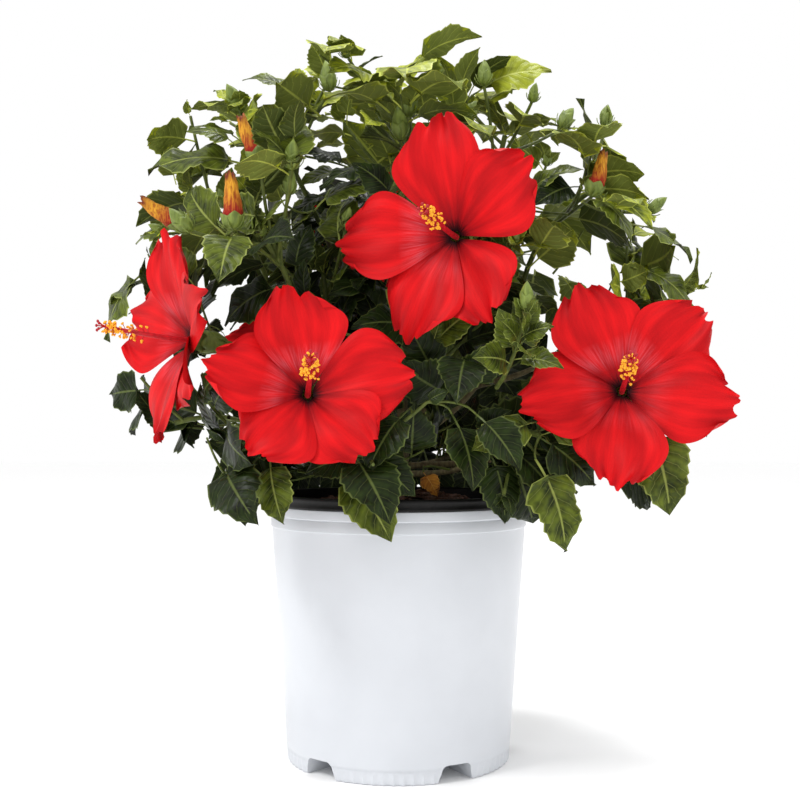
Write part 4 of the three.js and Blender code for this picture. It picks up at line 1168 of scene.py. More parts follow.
def settled(obj, name):
    """The evaluated shape of a helper object as a plain mesh at the origin; the helper is removed."""
    graph = bpy.context.evaluated_depsgraph_get()
    mesh = bpy.data.meshes.new_from_object(obj.evaluated_get(graph), depsgraph=graph)
    mesh.name = name
    bpy.data.objects.remove(obj)
    return link(name, mesh)


def node_modifier(obj, tree, values):
    """Puts a tree on an object, with its named inputs set by their identifiers."""
    modifier = obj.modifiers.new(tree.name, "NODES")
    modifier.node_group = tree
    for item in tree.interface.items_tree:
        if item.in_out == "INPUT" and item.name in values:
            modifier[item.identifier] = values[item.name]
    return modifier


def new_tree(name, inputs):
    """An empty tree with its named inputs; gives it and its group input's outputs."""
    tree = bpy.data.node_groups.new(name, "GeometryNodeTree")
    for label, kind in inputs:
        tree.interface.new_socket(label, in_out="INPUT", socket_type=kind)
    tree.interface.new_socket("Made", in_out="OUTPUT", socket_type="NodeSocketGeometry")
    return tree, node(tree, "NodeGroupInput")


def rod_tree():
    """Sweeps a round section along every curve at its own radius, and closes the ends."""
    tree, given = new_tree("round_rods", [
        ("Paths", "NodeSocketGeometry"), ("Sides", "NodeSocketInt"), ("Finish", "NodeSocketMaterial"),
    ])
    section = node(tree, "GeometryNodeCurvePrimitiveCircle", {"Resolution": given["Sides"], "Radius": 1.0})[0]
    girth = node(tree, "GeometryNodeInputNamedAttribute", {"Name": "radius"}, data_type="FLOAT")[0]
    swept = node(tree, "GeometryNodeCurveToMesh", {
        0: given["Paths"], 1: section, "Scale": girth, "Fill Caps": True,
    })[0]
    smoothed = node(tree, "GeometryNodeSetShadeSmooth", {0: swept})[0]
    real = node(tree, "GeometryNodeRealizeInstances", {0: smoothed})[0]
    done = node(tree, "GeometryNodeSetMaterial", {0: real, "Material": given["Finish"]})[0]
    node(tree, "NodeGroupOutput", {0: done})
    return tree


def setting_out_tree():
    """Sets a form out on every point, by the point's own form number, turn and size."""
    tree, given = new_tree("set_out_forms", [
        ("Points", "NodeSocketGeometry"), ("Forms", "NodeSocketCollection"), ("Finish", "NodeSocketMaterial"),
        ("Size", "NodeSocketFloat"),
    ])
    forms = node(tree, "GeometryNodeCollectionInfo", {0: given["Forms"], 1: True, 2: True})[0]
    number = node(tree, "GeometryNodeInputNamedAttribute", {"Name": "form"}, data_type="INT")[0]
    turn = node(tree, "GeometryNodeInputNamedAttribute", {"Name": "turn"}, data_type="FLOAT_VECTOR")[0]
    size = node(tree, "GeometryNodeInputNamedAttribute", {"Name": "size"}, data_type="FLOAT")[0]
    size = node(tree, "ShaderNodeMath", {0: size, 1: given["Size"]}, operation="MULTIPLY")[0]
    laid = node(tree, "GeometryNodeInstanceOnPoints", {
        0: given["Points"], 2: forms, 3: True, 4: number,
        5: node(tree, "FunctionNodeEulerToRotation", {0: turn})[0], 6: size,
    })[0]
    real = node(tree, "GeometryNodeRealizeInstances", {0: laid})[0]
    done = node(tree, "GeometryNodeSetMaterial", {0: real, "Material": given["Finish"]})[0]
    node(tree, "NodeGroupOutput", {0: done})
    return tree


ROD_TREE = rod_tree()
SETTING_OUT_TREE = setting_out_tree()


def rods(name, paths, sides, finish):
    """Round rods: each path is its points and its radii, in millimetres."""
    curve = bpy.data.curves.new(name, "CURVE")
    curve.dimensions = "3D"
    for points, radii in paths:
        spline = curve.splines.new("POLY")
        spline.points.add(len(points) - 1)
        for slot, point, radius in zip(spline.points, points, radii):
            slot.co = (*(point * MM), 1.0)
            slot.radius = radius * MM
    helper = link(name, curve)
    node_modifier(helper, ROD_TREE, {"Sides": sides, "Finish": FINISHES[finish]})
    return settled(helper, name)


def set_out(name, forms, rows, finish):
    """Joined copies of the forms: each row is a form's number, a place, a turn matrix and a size."""
    collection = bpy.data.collections.new(name + "_forms")
    for i, mesh in enumerate(forms):
        collection.objects.link(bpy.data.objects.new(f"{name}_{i:02d}", mesh))
    numbers, places, turns, sizes = zip(*rows)
    mesh = mesh_of(name, places, [], size=sizes)
    mesh.attributes.new("form", "INT", "POINT").data.foreach_set("value", numbers)
    angles = np.array([list(turn.to_euler("XYZ")) for turn in turns], np.float32)
    mesh.attributes.new("turn", "FLOAT_VECTOR", "POINT").data.foreach_set("vector", angles.ravel())
    helper = link(name, mesh)
    node_modifier(helper, SETTING_OUT_TREE, {"Forms": collection, "Finish": FINISHES[finish], "Size": 1.0})
    made = settled(helper, name)
    for obj in list(collection.objects):
        bpy.data.objects.remove(obj)
    bpy.data.collections.remove(collection)
    return made


def axes_matrix(x, y, z):
    """The turn that carries X, Y and Z onto three directions."""
    return Matrix(np.array([x, y, z]).T.tolist())


# ---------------------------------------------------------------- pot


def lathed(profile, sides):
    """A closed ring or solid turned about Z from a profile of radius and height; radius 0 is a pole."""
    points, rings = [], []
    for radius, height in profile:
        if radius == 0:
            rings.append([len(points)] * sides)
            points.append((0, 0, height))
            continue
        rings.append(list(range(len(points), len(points) + sides)))
        for i in range(sides):
            angle = 2 * math.pi * i / sides
            points.append((radius * math.cos(angle), radius * math.sin(angle), height))
    faces = []
    for ring, above in zip(rings, rings[1:]):
        for i in range(sides):
            j = (i + 1) % sides
            corners = [ring[i], ring[j], above[j], above[i]]
            faces.append(tuple(dict.fromkeys(corners)))
    return np.array(points, float), faces


def wall_radius(z):
    return lerp(POT["foot_radius"], POT["top_radius"], z / POT["wall_top"])


rim_inner = POT["top_radius"] - POT["wall"] - POT["lip"]


def fluted(points):
    """Shallow scallops round the foot of the wall."""
    made = points.copy()
    reach = np.hypot(points[:, 0], points[:, 1])
    bearing = np.arctan2(points[:, 1], points[:, 0])
    low = np.clip(1 - points[:, 2] / FLUTES["height"], 0, 1) ** 0.3
    outer = reach > POT["foot_radius"] - 2.5
    outer &= points[:, 2] < FLUTES["height"]
    cut = FLUTES["depth"] * low * (0.5 - 0.5 * np.cos(bearing * FLUTES["count"])) * outer
    made[:, :2] *= (1 - cut / np.maximum(reach, 1))[:, None]
    return made


def can_profile():
    """The can from the middle of its foot up the outside, over the top and down the inside to its floor."""
    top, collar, step = POT["wall_top"], POT["wall_top"] - POT["collar"], POT["collar_step"]
    inner, floor = top - POT["skirt"] - 2, POT["notch_height"] + 2.5
    foot = POT["foot_radius"]
    profile = [(0, 0), (foot - 8, 0), (foot - 1.6, 0), (foot - 0.4, 0.5)]
    profile += [(wall_radius(z), z) for z in (1.6, 4, 7, 9.5, 11.5, 12, 14, 40, 90, 140, 180)]
    profile += [(wall_radius(collar) - 0.3, collar - 1.2), (wall_radius(collar) - 0.2, collar - 0.6)]
    profile += [(wall_radius(collar) + step, collar + 0.2), (wall_radius(collar) + step, collar + 1)]
    profile += [(wall_radius(top - 9), top - 9), (wall_radius(top - 8) - 0.7, top - 8.2)]
    profile += [(wall_radius(top - 7) + 0.3, top - 7), (wall_radius(top) - 0.1, top - 1)]
    profile += [(wall_radius(top) - 0.5, top), (wall_radius(top) - POT["wall"], top)]
    profile += [(wall_radius(inner) - POT["wall"], inner), (wall_radius(20) - POT["wall"], floor)]
    return profile + [(0, floor)]


def arch_cutters():
    """One block for each drainage arch in the can's foot."""
    arches = Batch()
    for i in range(POT["notches"]):
        bearing = math.radians(POT["notch_bearing"] + 360 / POT["notches"] * i)
        out = np.array([math.cos(bearing), math.sin(bearing), 0])
        side = np.cross(UP, out)
        half, high, round_by = POT["notch_width"] / 2, POT["notch_height"], 5.0
        outline = [(half + 1.5, -1), (half + 0.2, 2.2), (half - 1.4, 7)]
        for turn in np.linspace(0, math.pi / 2, 7):
            x, z = half - 7 + round_by * math.cos(turn), high - round_by + round_by * math.sin(turn)
            outline.append((x, z))
        outline += [(-x, z) for x, z in outline[::-1]]
        near, far = POT["foot_radius"] - POT["notch_depth"], POT["foot_radius"] + 12
        points = [out * reach + side * x + UP * z for reach in (near, far) for x, z in outline]
        arches.add(points, tube_faces(1, len(outline)))
    return link("arches", recalculated(arches.mesh("arches", smooth_shaded=False)))


def make_pot():
    points, faces = lathed(can_profile(), POT_SIDES)
    shell = link("can_wall", recalculated(mesh_of("can_wall", fluted(points), faces)))
    cutter = arch_cutters()
    cut = shell.modifiers.new("arches", "BOOLEAN")
    cut.operation, cut.object, cut.solver = "DIFFERENCE", cutter, "EXACT"
    made = settled(shell, "can_wall")
    bpy.data.objects.remove(cutter)
    sharpened(made.data, 38)
    dress(made, "moulded_white_can", "pot_white", "pot_wall")


def make_rim():
    """The black ring on the can's top, and its skirt inside the wall."""
    low, seat, high, outer = POT["wall_top"] - POT["skirt"], 216.3, POT["height"], POT["rim_radius"]
    profile = [
        (rim_inner, low), (wall_radius(low) - POT["wall"] - GAP, low),
        (POT["top_radius"] - POT["wall"] - GAP, seat), (outer - 0.8, seat),
        (outer - 0.1, 217), (outer, 218.2), (outer - 0.5, 219), (outer - 0.5, 222.6),
        (outer, 223.4), (outer - 0.1, high - 1.4), (outer - 0.8, high - 0.4), (outer - 1.8, high),
        (rim_inner + 1.2, high), (rim_inner + 0.3, high - 0.5), (rim_inner, high - 1.5), (rim_inner, low),
    ]
    points, faces = lathed(profile, 160)
    mesh = sharpened(recalculated(merged(mesh_of("black_rim", points, faces))), 50)
    dress(link("black_rim", mesh), "moulded_black_rim", "rim_black", "pot_rim")


def soil_height(x, y):
    """The peat's top: crowned as in the part, heaped up about the trunk, and lumpy."""
    reach = math.hypot(x, y)
    share = min(1, max(0, (reach - SOIL["crown_radius"]) / (rim_inner - SOIL["crown_radius"])))
    heap = MULCH["heap"] * smooth(max(0, 1 - reach / MULCH["spread"])) ** 0.6
    lumps = 1.4 * noise.noise(Vector((x / 14, y / 14, 3)))
    return lerp(SOIL["crown"], SOIL["edge"], share) + heap - 1.2 + lumps


def make_soil():
    """The peat's lumpy top on a short plug that fills the can's mouth."""
    sides, underside = 96, 204
    radii = [0, *np.linspace(6, rim_inner - GAP, 26)]
    points, faces = lathed([(r, 0) for r in radii] + [(rim_inner - GAP, underside), (0, underside)], sides)
    for point in points[:-sides - 1]:
        point[2] = soil_height(point[0], point[1])
    mesh = recalculated(merged(mesh_of("peat", points, faces)))
    dress(link("peat", mesh), "damp_peat", "soil", "potting_mix")


def chip_forms(count):
    """Split bark chips: long low wedges with ragged ends."""
    forms = []
    for k in range(count):
        draw = stream(SEEDS["chip_forms"] + k)
        half, wide, thick = 7 + 5 * draw(), 2.2 + 2 * draw(), 1.0 + 0.9 * draw()
        points = []
        for x in (-1, -0.4, 0.35, 1):
            pinch = 0.55 if abs(x) == 1 else 1
            for y, z in ((-1, -1), (1, -1), (1, 1), (-1, 1)):
                along = half * (x + 0.12 * (draw() - 0.5))
                across = wide * y * pinch * (0.75 + 0.4 * draw())
                points.append((along, across, thick * z * pinch + 0.7 * math.sin(x * 2 + k)))
        forms.append(recalculated(mesh_of(f"chip_{k}", points, tube_faces(3, 4), smooth_shaded=False)))
    return forms


def make_mulch():
    """Bark chips strewn evenly over the peat, clear of the trunk."""
    draw = stream(SEEDS["mulch"])
    rows = []
    for i in range(MULCH["chips"]):
        reach, bearing = MULCH["reach"] * math.sqrt(draw()), 360 * draw()
        place = polar(bearing, reach, 0)
        if reach < TRUNK["flare"] + 4:
            continue
        place[2] = soil_height(place[0], place[1]) + 0.6 + 1.8 * draw()
        turn = Matrix.Rotation(2 * math.pi * draw(), 3, "Z") @ Matrix.Rotation(0.5 * (draw() - 0.5), 3, "Y")
        turn = turn @ Matrix.Rotation(0.7 * (draw() - 0.5), 3, "X")
        rows.append((i % MULCH["forms"], place, turn, 0.55 + 0.5 * draw()))
    dress(set_out("bark_chips", chip_forms(MULCH["forms"]), rows, "bark_mulch"), "bark_mulch", "soil")


# ---------------------------------------------------------------- wood


def make_bark():
    """Trunk and boughs with their bark's relief: swollen rings, lengthwise ridges and small lumps."""
    batch = Batch()
    for name, limb in limbs.items():
        path, sides = limb["path"], 20 if name == "trunk" else 10
        count = max(8, int(path.lengths[-1] / 5))
        shares = np.linspace(0, 1, count + 1)
        centres = path.laid(shares)
        normal = unit(np.cross(path.tangent(0), np.array([0.3, 0.9, 0.1])))
        points = []
        for share, centre in zip(shares, centres):
            tangent = path.tangent(share)
            normal = unit(normal - tangent * (normal @ tangent))
            other = np.cross(tangent, normal)
            for i in range(sides):
                angle = 2 * math.pi * i / sides
                ray = normal * math.cos(angle) + other * math.sin(angle)
                lump = noise.noise(Vector((*(centre / 9 + ray * 1.6),)))
                ridge = math.sin(angle * 3 + lump * 4) * 0.03
                relief = 1 + 0.07 * lump + ridge * (1 if name == "trunk" else 0.5) - 0.04
                points.append(centre + ray * limb["radius"](share) * relief)
        batch.add(points, tube_faces(count, sides))
    dress(link("woody_limbs", sharpened(batch.mesh("woody_limbs"), 60)), "shrub_bark", "bark", *limbs)


LEAF_NODES = [f"leaves_{name}" for name, *_ in MASSES]


def make_green_wood():
    """Stems, shoots and finer twigs of the masses."""
    paths = []
    for growth in growths:
        for i, shoot in enumerate(growth["own"]):
            if i and before_sky(shoot["path"].at(1)):
                continue
            foot, tip = (growth["foot_radius"], STEM["tip"]) if i == 0 else (SHOOT["foot"], SHOOT["tip"])
            shares = np.linspace(0, 1, 9)
            paths.append((shoot["path"].laid(shares), [lerp(foot, tip, s) for s in shares]))
    for path, foot, tip in twigs:
        shares = np.linspace(0, 1, 6)
        paths.append((path.laid(shares), [lerp(foot, tip, s) for s in shares]))
    dress(rods("green_shoots", paths, 8, "green_wood"), "green_wood", "bark", *LEAF_NODES)


# ---------------------------------------------------------------- leaves

# Rows of points across a blade, as shares of its length: plain at the base, then a pair for each tooth.
TEETH = 5
TOOTH_ROWS = [t for k in range(TEETH) for t in (0.32 + 0.125 * k, 0.352 + 0.125 * k)]
LEAF_ROWS = [0.0, 0.1, 0.22] + TOOTH_ROWS + [1.0]
LEAF_BASE = 0.2  # share of a leaf's length that is its stalk


def leaf_form(k):
    """A leaf of length 1000 along Y, its upper face to +Z: stalk, folded and arched blade, coarse teeth."""
    draw = stream(SEEDS["leaf_forms"] + k)
    fold, droop, wave = 0.08 + 0.26 * draw(), 0.03 + 0.12 * draw(), 0.024 + 0.03 * draw()
    curl, bend, wide = 0.8 + 0.4 * draw(), 0.14 * (draw() - 0.5), 0.92 + 0.16 * draw()
    phase = 6.28 * draw()

    def rib(y):
        return 0.4647 * y - 0.5429 * curl * y * y

    def half_width(row):
        t = LEAF_ROWS[row]
        plain = LEAF["width"] * wide * t**0.45 * (1 - t) ** 0.9 / 0.425
        toothed = row >= 3 and row % 2 == 1 and t < 1
        return plain + (0.036 * (1 - 0.4 * t) if toothed else 0)

    def place(row, w, under):
        t = LEAF_ROWS[row]
        y = lerp(LEAF_BASE, 0.98, t)
        x = w * half_width(row)
        lobe = fold * abs(x) - droop * (abs(x) / LEAF["width"]) ** 2 * 0.9
        ruffle = wave * math.sin(t * 12 + phase + (2 if w > 0 else 0)) * w * w
        lobed = y - (0.035 * abs(w) * (1 - t) if row else 0)
        thickness = 7 * (1 - abs(w)) if under else 0
        return 1000 * (x + bend * y * y), 1000 * lobed, 1000 * (rib(y) + lobe + ruffle) - thickness

    batch = Batch()
    rows = len(LEAF_ROWS)
    for under, across in ((False, (-1, -0.55, 0, 0.55, 1)), (True, (-1, 0, 1))):
        points = [place(row, w, under) for row in range(rows) for w in across]

        def on_map(row, col, across=across, under=under):
            return across[col] / 2 + 0.5 + UNDERSIDE * under, LEAF_ROWS[row]

        batch.add(points, *sheet_faces(rows, len(across), on_map, under))
    stalk = [(1000 * bend * y * y, 1000 * y, 1000 * rib(y)) for y in (0, 0.1, 0.215)]
    ring = [(math.cos(a), math.sin(a)) for a in (0, 2.094, 4.189)]
    points = [(x + 14 * c, y, z + 14 * s - 4) for x, y, z in stalk for c, s in ring]
    sides = ((0, 1), (1, 2), (2, 0))
    faces = [(3 * j + a, 3 * j + 3 + a, 3 * j + 3 + b, 3 * j + b) for j in range(2) for a, b in sides]
    faces += [(0, 1, 2), (8, 7, 6)]
    batch.add(points, faces, [(0.5, 0.5)] * sum(len(face) for face in faces))
    return sharpened(merged(batch.mesh(f"leaf_form_{k}")), 75)


def make_leaves():
    """Leaves dealt out by spray in lit and shaded copies of one leaf: painted light makes them bright on top,
    outside and to the right, painted shade deep low down, inside and to the left.
    """
    forms = [leaf_form(k) for k in range(LEAF_FORMS)]
    dealt = {name: [] for name in LOOKS if name.startswith("leaf_")}
    draw = stream(SEEDS["tones"])
    spray_tone = {}
    for i, leaf in enumerate(leaves):
        at, length = leaf["at"], leaf["length"]
        spray = (leaf["mass"], round(at["root"][0] / 45), round(at["root"][2] / 45))
        if spray not in spray_tone:
            spray_tone[spray] = draw()
        # Painted light and shade: the tone rises with height, toward the crown's outside and to the right;
        # the leaf's youth and its spray's random tone are its own colour.
        height = (at["root"][2] - 240) / 330
        outer = min(1, np.linalg.norm(at["root"] - (0, 0, 320)) / 240)
        tone = height + leaf["young"] * 0.2 + (spray_tone[spray] - 0.5) * 0.4 + (outer - 0.75) * 0.3
        tone += 0.11 * max(-1, min(1, at["root"][0] / 120))
        kind = "leaf_bright" if tone > 0.8 else "leaf_mid" if tone > 0.42 else "leaf_deep"
        kind = leaf.get("tone", kind)
        turn = axes_matrix(at["side"], at["run"], at["face"])
        upper = smooth(min(1, max(0, (at["root"][2] - UPPER["above"]) / UPPER["over"])))
        dealt[kind].append((i % len(forms), at["root"], turn, length * lerp(1, UPPER["size"], upper) / 1000))
    for kind, rows in dealt.items():
        piece = set_out(kind.replace("leaf_", "leaves_") + "_foliage", forms, rows, kind)
        dress(piece, kind, "leaf", *LEAF_NODES)


# ---------------------------------------------------------------- blooms


def petal_gaps(petals, i):
    """The angles from petal i to its neighbours: clockwise, then counter-clockwise."""
    others = [p[0] for j, p in enumerate(petals) if j != i]
    own = petals[i][0]
    return min((own - a) % 360 for a in others), min((a - own) % 360 for a in others)


def add_petal(batch, axes, petal, gaps, seed):
    """A petal's two faces: narrow claw, broad blade with a ragged rim, ruffled and creased.

    w runs across it from -1 to 1 and s along it from 0 to 1."""
    angle, length, blush = petal
    draw = stream(seed)
    phases = [6.28 * draw() for _ in range(5)]
    ray = axes["right"] * math.cos(math.radians(angle)) + axes["up"] * math.sin(math.radians(angle))
    side = np.cross(ray, axes["out"])
    w = np.linspace(-1, 1, PETAL_COLS + 1)[None, :].repeat(PETAL_ROWS + 1, 0)
    s = np.linspace(0, 1, PETAL_ROWS + 1)[:, None].repeat(PETAL_COLS + 1, 1)
    spread = np.where(w > 0, *[PETAL["half_width"] * min(1.02, max(0.86, gap / 76)) for gap in gaps])
    opened = np.sin(np.minimum(1, s * 1.5) * 0.5 * math.pi)
    half = lerp(3, spread, opened) * (1 - 0.46 * s**5)
    corner, bend, leaning = 1.2 * (draw() - 0.5), 9 * (draw() - 0.5), 0.1 * (draw() - 0.5)
    peak = 0.045 * np.maximum(0, 1 - np.abs(w - corner) / 0.8)
    ragged = peak + leaning * w
    for deep, waves, phase in zip((0.03, 0.014, 0.01), (9, 17, 27), phases):
        ragged = ragged + deep * np.sin(w * waves + phase)
    reach = lerp(4, length, s) - length * 0.13 * s * s * w * w + length * (ragged - 0.06) * s**4
    radial = np.minimum(1, np.hypot(reach, half * w) / PETAL["length"])
    rim = np.maximum(s**4, np.abs(w) ** 5 * s)
    ruffle = 4.2 * np.sin(w * 5.5 + s * 3 + phases[3]) + 1.8 * np.sin(w * 13 - s * 5 + phases[4]) + bend * s
    crease = 1.1 * np.sin(w * 6 + s * 4 + phases[1]) * np.sin(math.pi * s) - 1.6 * np.exp(-((w * 5) ** 2)) * s
    depth = petal_depth(radial) - PETAL["tilt"] * s * w + ruffle * rim * 0.9 + crease
    for back in (False, True):
        inner = (1 - w**4) * (1 - s**8) * 0.7 if back else 0
        at = axes["throat"] + reach[..., None] * ray + (half * w)[..., None] * side
        at = at + (depth - inner)[..., None] * axes["out"]

        def on_map(row, col, back=back):
            return col / PETAL_COLS, row / PETAL_ROWS + UNDERSIDE * back

        faces, uv = sheet_faces(PETAL_ROWS + 1, PETAL_COLS + 1, on_map, back)
        batch.add(at.reshape(-1, 3), faces, uv, blush)


def turn_to(direction):
    """The turn that carries +Z to a direction."""
    return np.array(Vector(UP).rotation_difference(Vector(direction)).to_matrix())


def add_lathe(batch, foot, direction, profile, sides, wobble=None):
    """A turned solid along a direction, from poles at both its ends, marked with each point's height."""
    points, faces = lathed(profile, sides)
    heights = points[:, 2] / points[:, 2].max()
    if wobble:
        points = np.array([wobble(p) for p in points])
    batch.add(points @ turn_to(direction).T + foot, faces, mark=heights)


def make_petals():
    batch = Batch()
    for n, (name, *_, petals) in enumerate(BLOOMS):
        for i, petal in enumerate(petals):
            add_petal(batch, bloom_axes[name], petal, petal_gaps(petals, i), SEEDS["petals"] + 7 * n + i)
    mesh = sharpened(merged(batch.mesh("petals", blush=batch.marks)), 80)
    dress(link("petals", mesh), "silky_petal", "petal", *bloom_axes)


def column_bow(t):
    """How far the column lifts from the bloom's axis, at a share of its length."""
    return 5 * t * t


def make_columns():
    """Each bloom's column: a slender tube with its stamens' stalks, anthers and five stigma pads."""
    tubes, anther_rows, pads = [], [], Batch()
    for n, axes in enumerate(bloom_axes.values()):
        draw = stream(SEEDS["columns"] + n)
        foot = axes["throat"] - axes["out"] * PETAL["throat"]
        reach = PETAL["throat"] + COLUMN["length"]

        def centre(t, axes=axes, foot=foot, reach=reach):
            return foot + axes["out"] * reach * t + axes["up"] * column_bow(t)

        shares = np.linspace(0, TUBE["end"], 16)
        radii = [lerp(COLUMN["foot"] - TUBE["thinner"], TUBE["tip"], t) for t in shares]
        tubes.append(([centre(t) for t in shares], radii))
        for k in range(STAMENS["count"]):
            t = STAMENS["first"] + STAMENS["span"] * math.sqrt(draw())
            around = k * STAMENS["turn"]
            ray = axes["right"] * math.cos(around) + axes["up"] * math.sin(around)
            long = lerp(STAMENS["longest"], STAMENS["shortest"], (t - STAMENS["first"]) / STAMENS["span"])
            long = long * (0.8 + 0.4 * draw())
            start = centre(t)
            tip = start + ray * long + axes["out"] * long * (0.25 + 0.4 * draw())
            tubes.append(([start, lerp(start, tip, 0.5) + ray * 0.4, tip], [0.32, 0.28, 0.25]))
            turn = Matrix.Rotation(6.28 * draw(), 3, "Z") @ Matrix.Rotation(6.28 * draw(), 3, "X")
            anther_rows.append((k % 2, tip, turn, 0.85 + 0.35 * draw()))
        top = centre(TUBE["end"])
        for k in range(5):
            angle = 2 * math.pi * k / 5 + 0.5
            ray = axes["right"] * math.cos(angle) + axes["up"] * math.sin(angle)
            end = top + ray * 3.6 + axes["out"] * 5.4
            tubes.append(([top, top + ray * 1.2 + axes["out"] * 2.4, end], [0.55, 0.5, 0.5]))
            add_lathe(pads, end - axes["out"] * 0.9, axes["out"], STIGMA_PAD, 8)
    dress(rods("stamen_tubes", tubes, 8, "stamen_tube"), "stamen_tube", "petal")
    forms = []
    for k in range(2):
        batch = Batch()
        add_lathe(batch, np.zeros(3), (1, 0, 0), [(0, -1.3), (0.8, -0.9), (1.0, 0), (0.75, 0.8), (0, 1.2)], 6)
        lobe = [(0, -1.0), (0.7, -0.5), (0.7, 0.5), (0, 1.0)]
        add_lathe(batch, np.array([0, 0.9, 0.2]), (0.8, 0.3, 0.3), lobe, 5)
        forms.append(recalculated(batch.mesh(f"anther_{k}")))
    dress(set_out("anthers", forms, anther_rows, "pollen"), "pollen", "petal")
    dress(link("stigma_pads", recalculated(pads.mesh("stigma_pads"))), "stigma_velvet", "petal")


def add_calyx(batch, foot, direction, length, mouth, narrow, seed):
    """Five joined sepals with pointed lobes, and a ring of seven thin bracts below them."""
    draw = stream(seed)

    def lobed(point):
        """Draws the sepals' rim out into five points and swells their middles."""
        angle = math.atan2(point[1], point[0])
        reach = math.hypot(point[0], point[1])
        high = max(0, point[2] / length - 0.55)
        point = point.copy()
        point[2] += high * length * 0.35 * math.cos(angle * 5)
        swell = 1 + 0.05 * math.cos(angle * 5)
        point[:2] *= swell if reach > 0.5 else 1
        return point

    # The cup up its outside and down its inside: shares of the mouth's radius and of the length.
    cup = [
        (0.62, 0.14), (0.94, 0.36), (1, 0.56), (1.02, 0.75), (1.12, 0.92), (1.08, 0.91), (0.9, 0.7),
        (0.8, 0.4),
    ]
    profile = [(0, 0), (narrow, 0.4)] + [(mouth * r, length * h) for r, h in cup] + [(0, length * 0.3)]
    add_lathe(batch, foot, direction, profile, 20, lobed)
    # A bract's reach, height and half its width at four places, each of them a flat diamond.
    bract = [
        (narrow * 0.6, 0.2, 0.8), (mouth * 0.95, length * 0.2, 0.95), (mouth * 1.35, length * 0.45, 0.6),
        (mouth * 1.5, length * 0.68, 0.05),
    ]
    diamond = ((-1, 0), (0, 0.5), (1, 0), (0, -0.3))
    for k in range(7):
        angle = 2 * math.pi * (k + 0.3 * draw()) / 7
        ray = np.array([math.cos(angle), math.sin(angle), 0])
        side = np.array([-math.sin(angle), math.cos(angle), 0])
        points = [
            ray * reach + UP * high + side * half * x + ray * off
            for reach, high, half in bract
            for x, off in diamond
        ]
        batch.add(np.array(points) @ turn_to(direction).T + foot, tube_faces(3, 4))


def make_stalks_and_sepals():
    """The stalks of the blooms, which widen into the calyx, and the calyxes of blooms and buds."""
    batch = Batch()
    stalks = []
    shares = np.linspace(0, 1, 14)
    radii = [FLOWER_STALK["radius"] * (1 + 0.5 * max(0, s - 0.9) / 0.1) for s in shares]
    for n, (name, path) in enumerate(stalk_paths.items()):
        axes = bloom_axes[name]
        stalks.append((path.laid(shares), radii))
        foot = axes["throat"] - axes["out"] * (PETAL["throat"] + CALYX["length"])
        seed = SEEDS["calyxes"] + n
        add_calyx(batch, foot, axes["out"], CALYX["length"], CALYX["mouth"], CALYX["foot"], seed)
    for n, (_, foot, points, length, kind) in enumerate(BUDDED):
        long, wide = BUD_CALYX[kind]
        seed, narrow = SEEDS["bud_calyxes"] + n, BUD_CALYX["foot"]
        add_calyx(batch, np.array(foot, float), heading(*points), length * long, length * wide, narrow, seed)
    for n, (foot, direction, length) in enumerate(tip_buds):
        long, wide = BUD_CALYX["tip"]
        seed, narrow = SEEDS["tip_calyxes"] + n, BUD_CALYX["tip_foot"]
        add_calyx(batch, foot, direction, length * long, length * wide, narrow, seed)
    dress(rods("flower_stalks", stalks, 10, "green_wood"), "green_wood", "bark")
    dress(link("sepals", recalculated(batch.mesh("sepals"))), "sepal", "leaf")


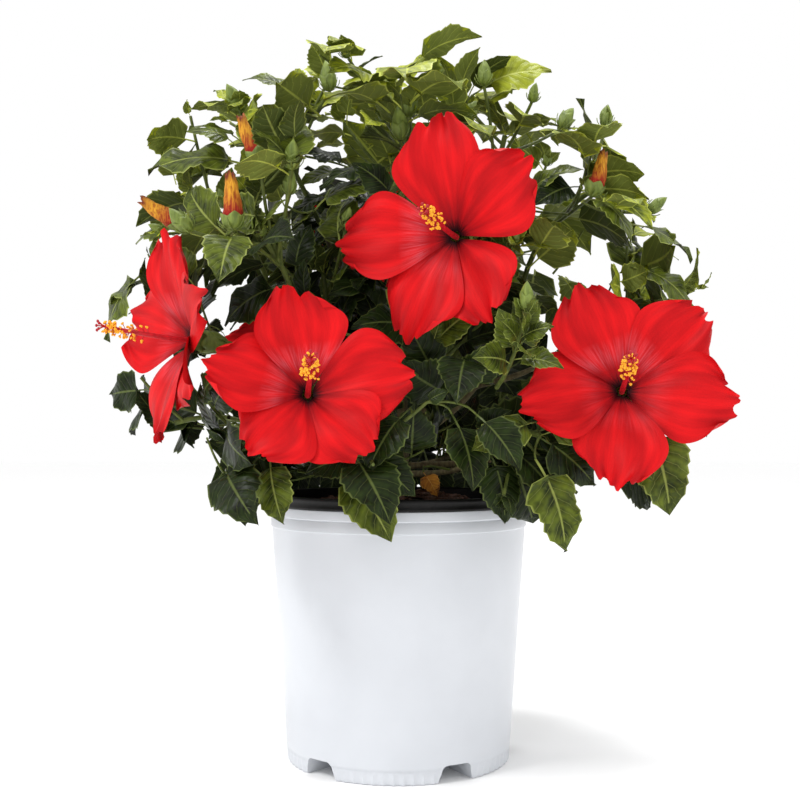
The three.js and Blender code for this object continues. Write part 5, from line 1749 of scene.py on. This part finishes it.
def make_buds():
    """Buds: petals wound round one another to a point. Green ones are plump, spent ones slack and longer."""
    kinds = {"green": Batch(), "spent": Batch()}
    rows = [(foot, heading(*points), length, kind) for _, foot, points, length, kind in BUDDED]
    for n, (foot, direction, length, kind) in enumerate(rows + [(*row, "green") for row in tip_buds]):
        length *= 1.2 if kind == "spent" else 1
        wide = length * (0.22 if kind == "green" else 0.215)
        twist = 0.9 if kind == "green" else 2.2

        def wound(point, wide=wide, twist=twist, length=length, n=n, kind=kind):
            """Draws the turned form into five petals wound round one another."""
            point = point.copy()
            angle, share = math.atan2(point[1], point[0]), point[2] / length
            spent = kind == "spent"
            swell = 1 + 0.13 * math.cos(5 * angle + twist * 6 * share) * min(1, 3 * (1 - share) + spent)
            point[2] += length * 0.05 * math.sin(angle * 3 + n) * share**3 * spent
            point[:2] *= swell
            point[0] += wide * 0.25 * math.sin(share * 3 + n) * share
            return point

        profile = [(0, 0), (wide * 0.3, length * 0.03)]
        if kind == "green":
            for t in np.linspace(0.12, 0.88, 12):
                profile.append((wide * math.sin(math.pi * (0.1 + t) * 0.93) ** 0.7, length * t))
            profile.append((0, length))
        else:
            for t in np.linspace(0.12, 1, 12):
                swollen = math.sin(math.pi * min(0.5, 0.2 + t)) * min(1, 0.4 + 2.6 * t)
                profile.append((wide * swollen * (1 - 0.62 * t), length * t))
            profile += [(wide * 0.24, length * 0.97), (0, length * 0.86)]
        add_lathe(kinds[kind], np.array(foot, float), direction, profile, 20, wound)
    dress(link("green_buds", recalculated(kinds["green"].mesh("green_buds"))), "sepal", "leaf")
    spent = kinds["spent"].mesh("spent_blooms", height=kinds["spent"].marks)
    dress(link("spent_blooms", recalculated(spent)), "withered_petal", "petal")


# ---------------------------------------------------------------- camera, light, floor


def make_camera():
    data = bpy.data.cameras.new("camera")
    data.sensor_width = 36
    data.lens = CAMERA["focal_px"] * data.sensor_width / CAMERA["frame_px"]
    data.shift_x = (CAMERA["frame_px"] / 2 - CAMERA["axis_px"]) / CAMERA["frame_px"]
    data.shift_y = (CAMERA["horizon_px"] - CAMERA["frame_px"] / 2) / CAMERA["frame_px"]
    data.clip_start, data.clip_end = 0.02, 50
    camera = link("camera", data)
    camera.location = (0, -CAMERA["distance"] * MM, CAMERA["height"] * MM)
    camera.rotation_euler = (math.pi / 2, 0, 0)
    bpy.context.scene.camera = camera


def make_light():
    def lamp(name, place, size, power, target=(0, 0, 0.3)):
        data = bpy.data.lights.new(name, "AREA")
        data.shape, data.size, data.energy = "DISK", size, power
        made = link(name, data)
        made.location = place
        made.rotation_euler = (Vector(target) - Vector(place)).to_track_quat("-Z", "Y").to_euler()

    lamp("key_left", (-1.45, -1.3, 2.35), 0.8, 36)
    lamp("fill_right", (2.0, -1.3, 1.6), 0.8, 4)
    lamp("back_top", (0.2, 0.5, 2.3), 0.6, 24)
    world = bpy.data.worlds.new("studio")
    world.use_nodes = True
    world.node_tree.nodes.clear()
    glow = node(world.node_tree, "ShaderNodeBackground", {"Color": linear("#ffffff"), "Strength": 1.0})
    node(world.node_tree, "ShaderNodeOutputWorld", {"Surface": glow[0]})
    bpy.context.scene.world = world
    bpy.context.scene.view_settings.view_transform = "Standard"


def make_floor():
    far = 9000
    mesh = mesh_of("floor", [(-far, -far, 0), (far, -far, 0), (far, far, 0), (-far, far, 0)], [(0, 1, 2, 3)])
    floor = link("floor", mesh)
    pale = {"Base Color": linear("#fdfdfd"), "Roughness": 0.9}
    mesh.materials.append(finish_of("pale_floor", lambda tree: pale))


make_camera()
make_light()
make_floor()
make_pot()
make_rim()
make_soil()
make_mulch()
make_bark()
make_green_wood()
make_leaves()
make_petals()
make_columns()
make_stalks_and_sepals()
make_buds()
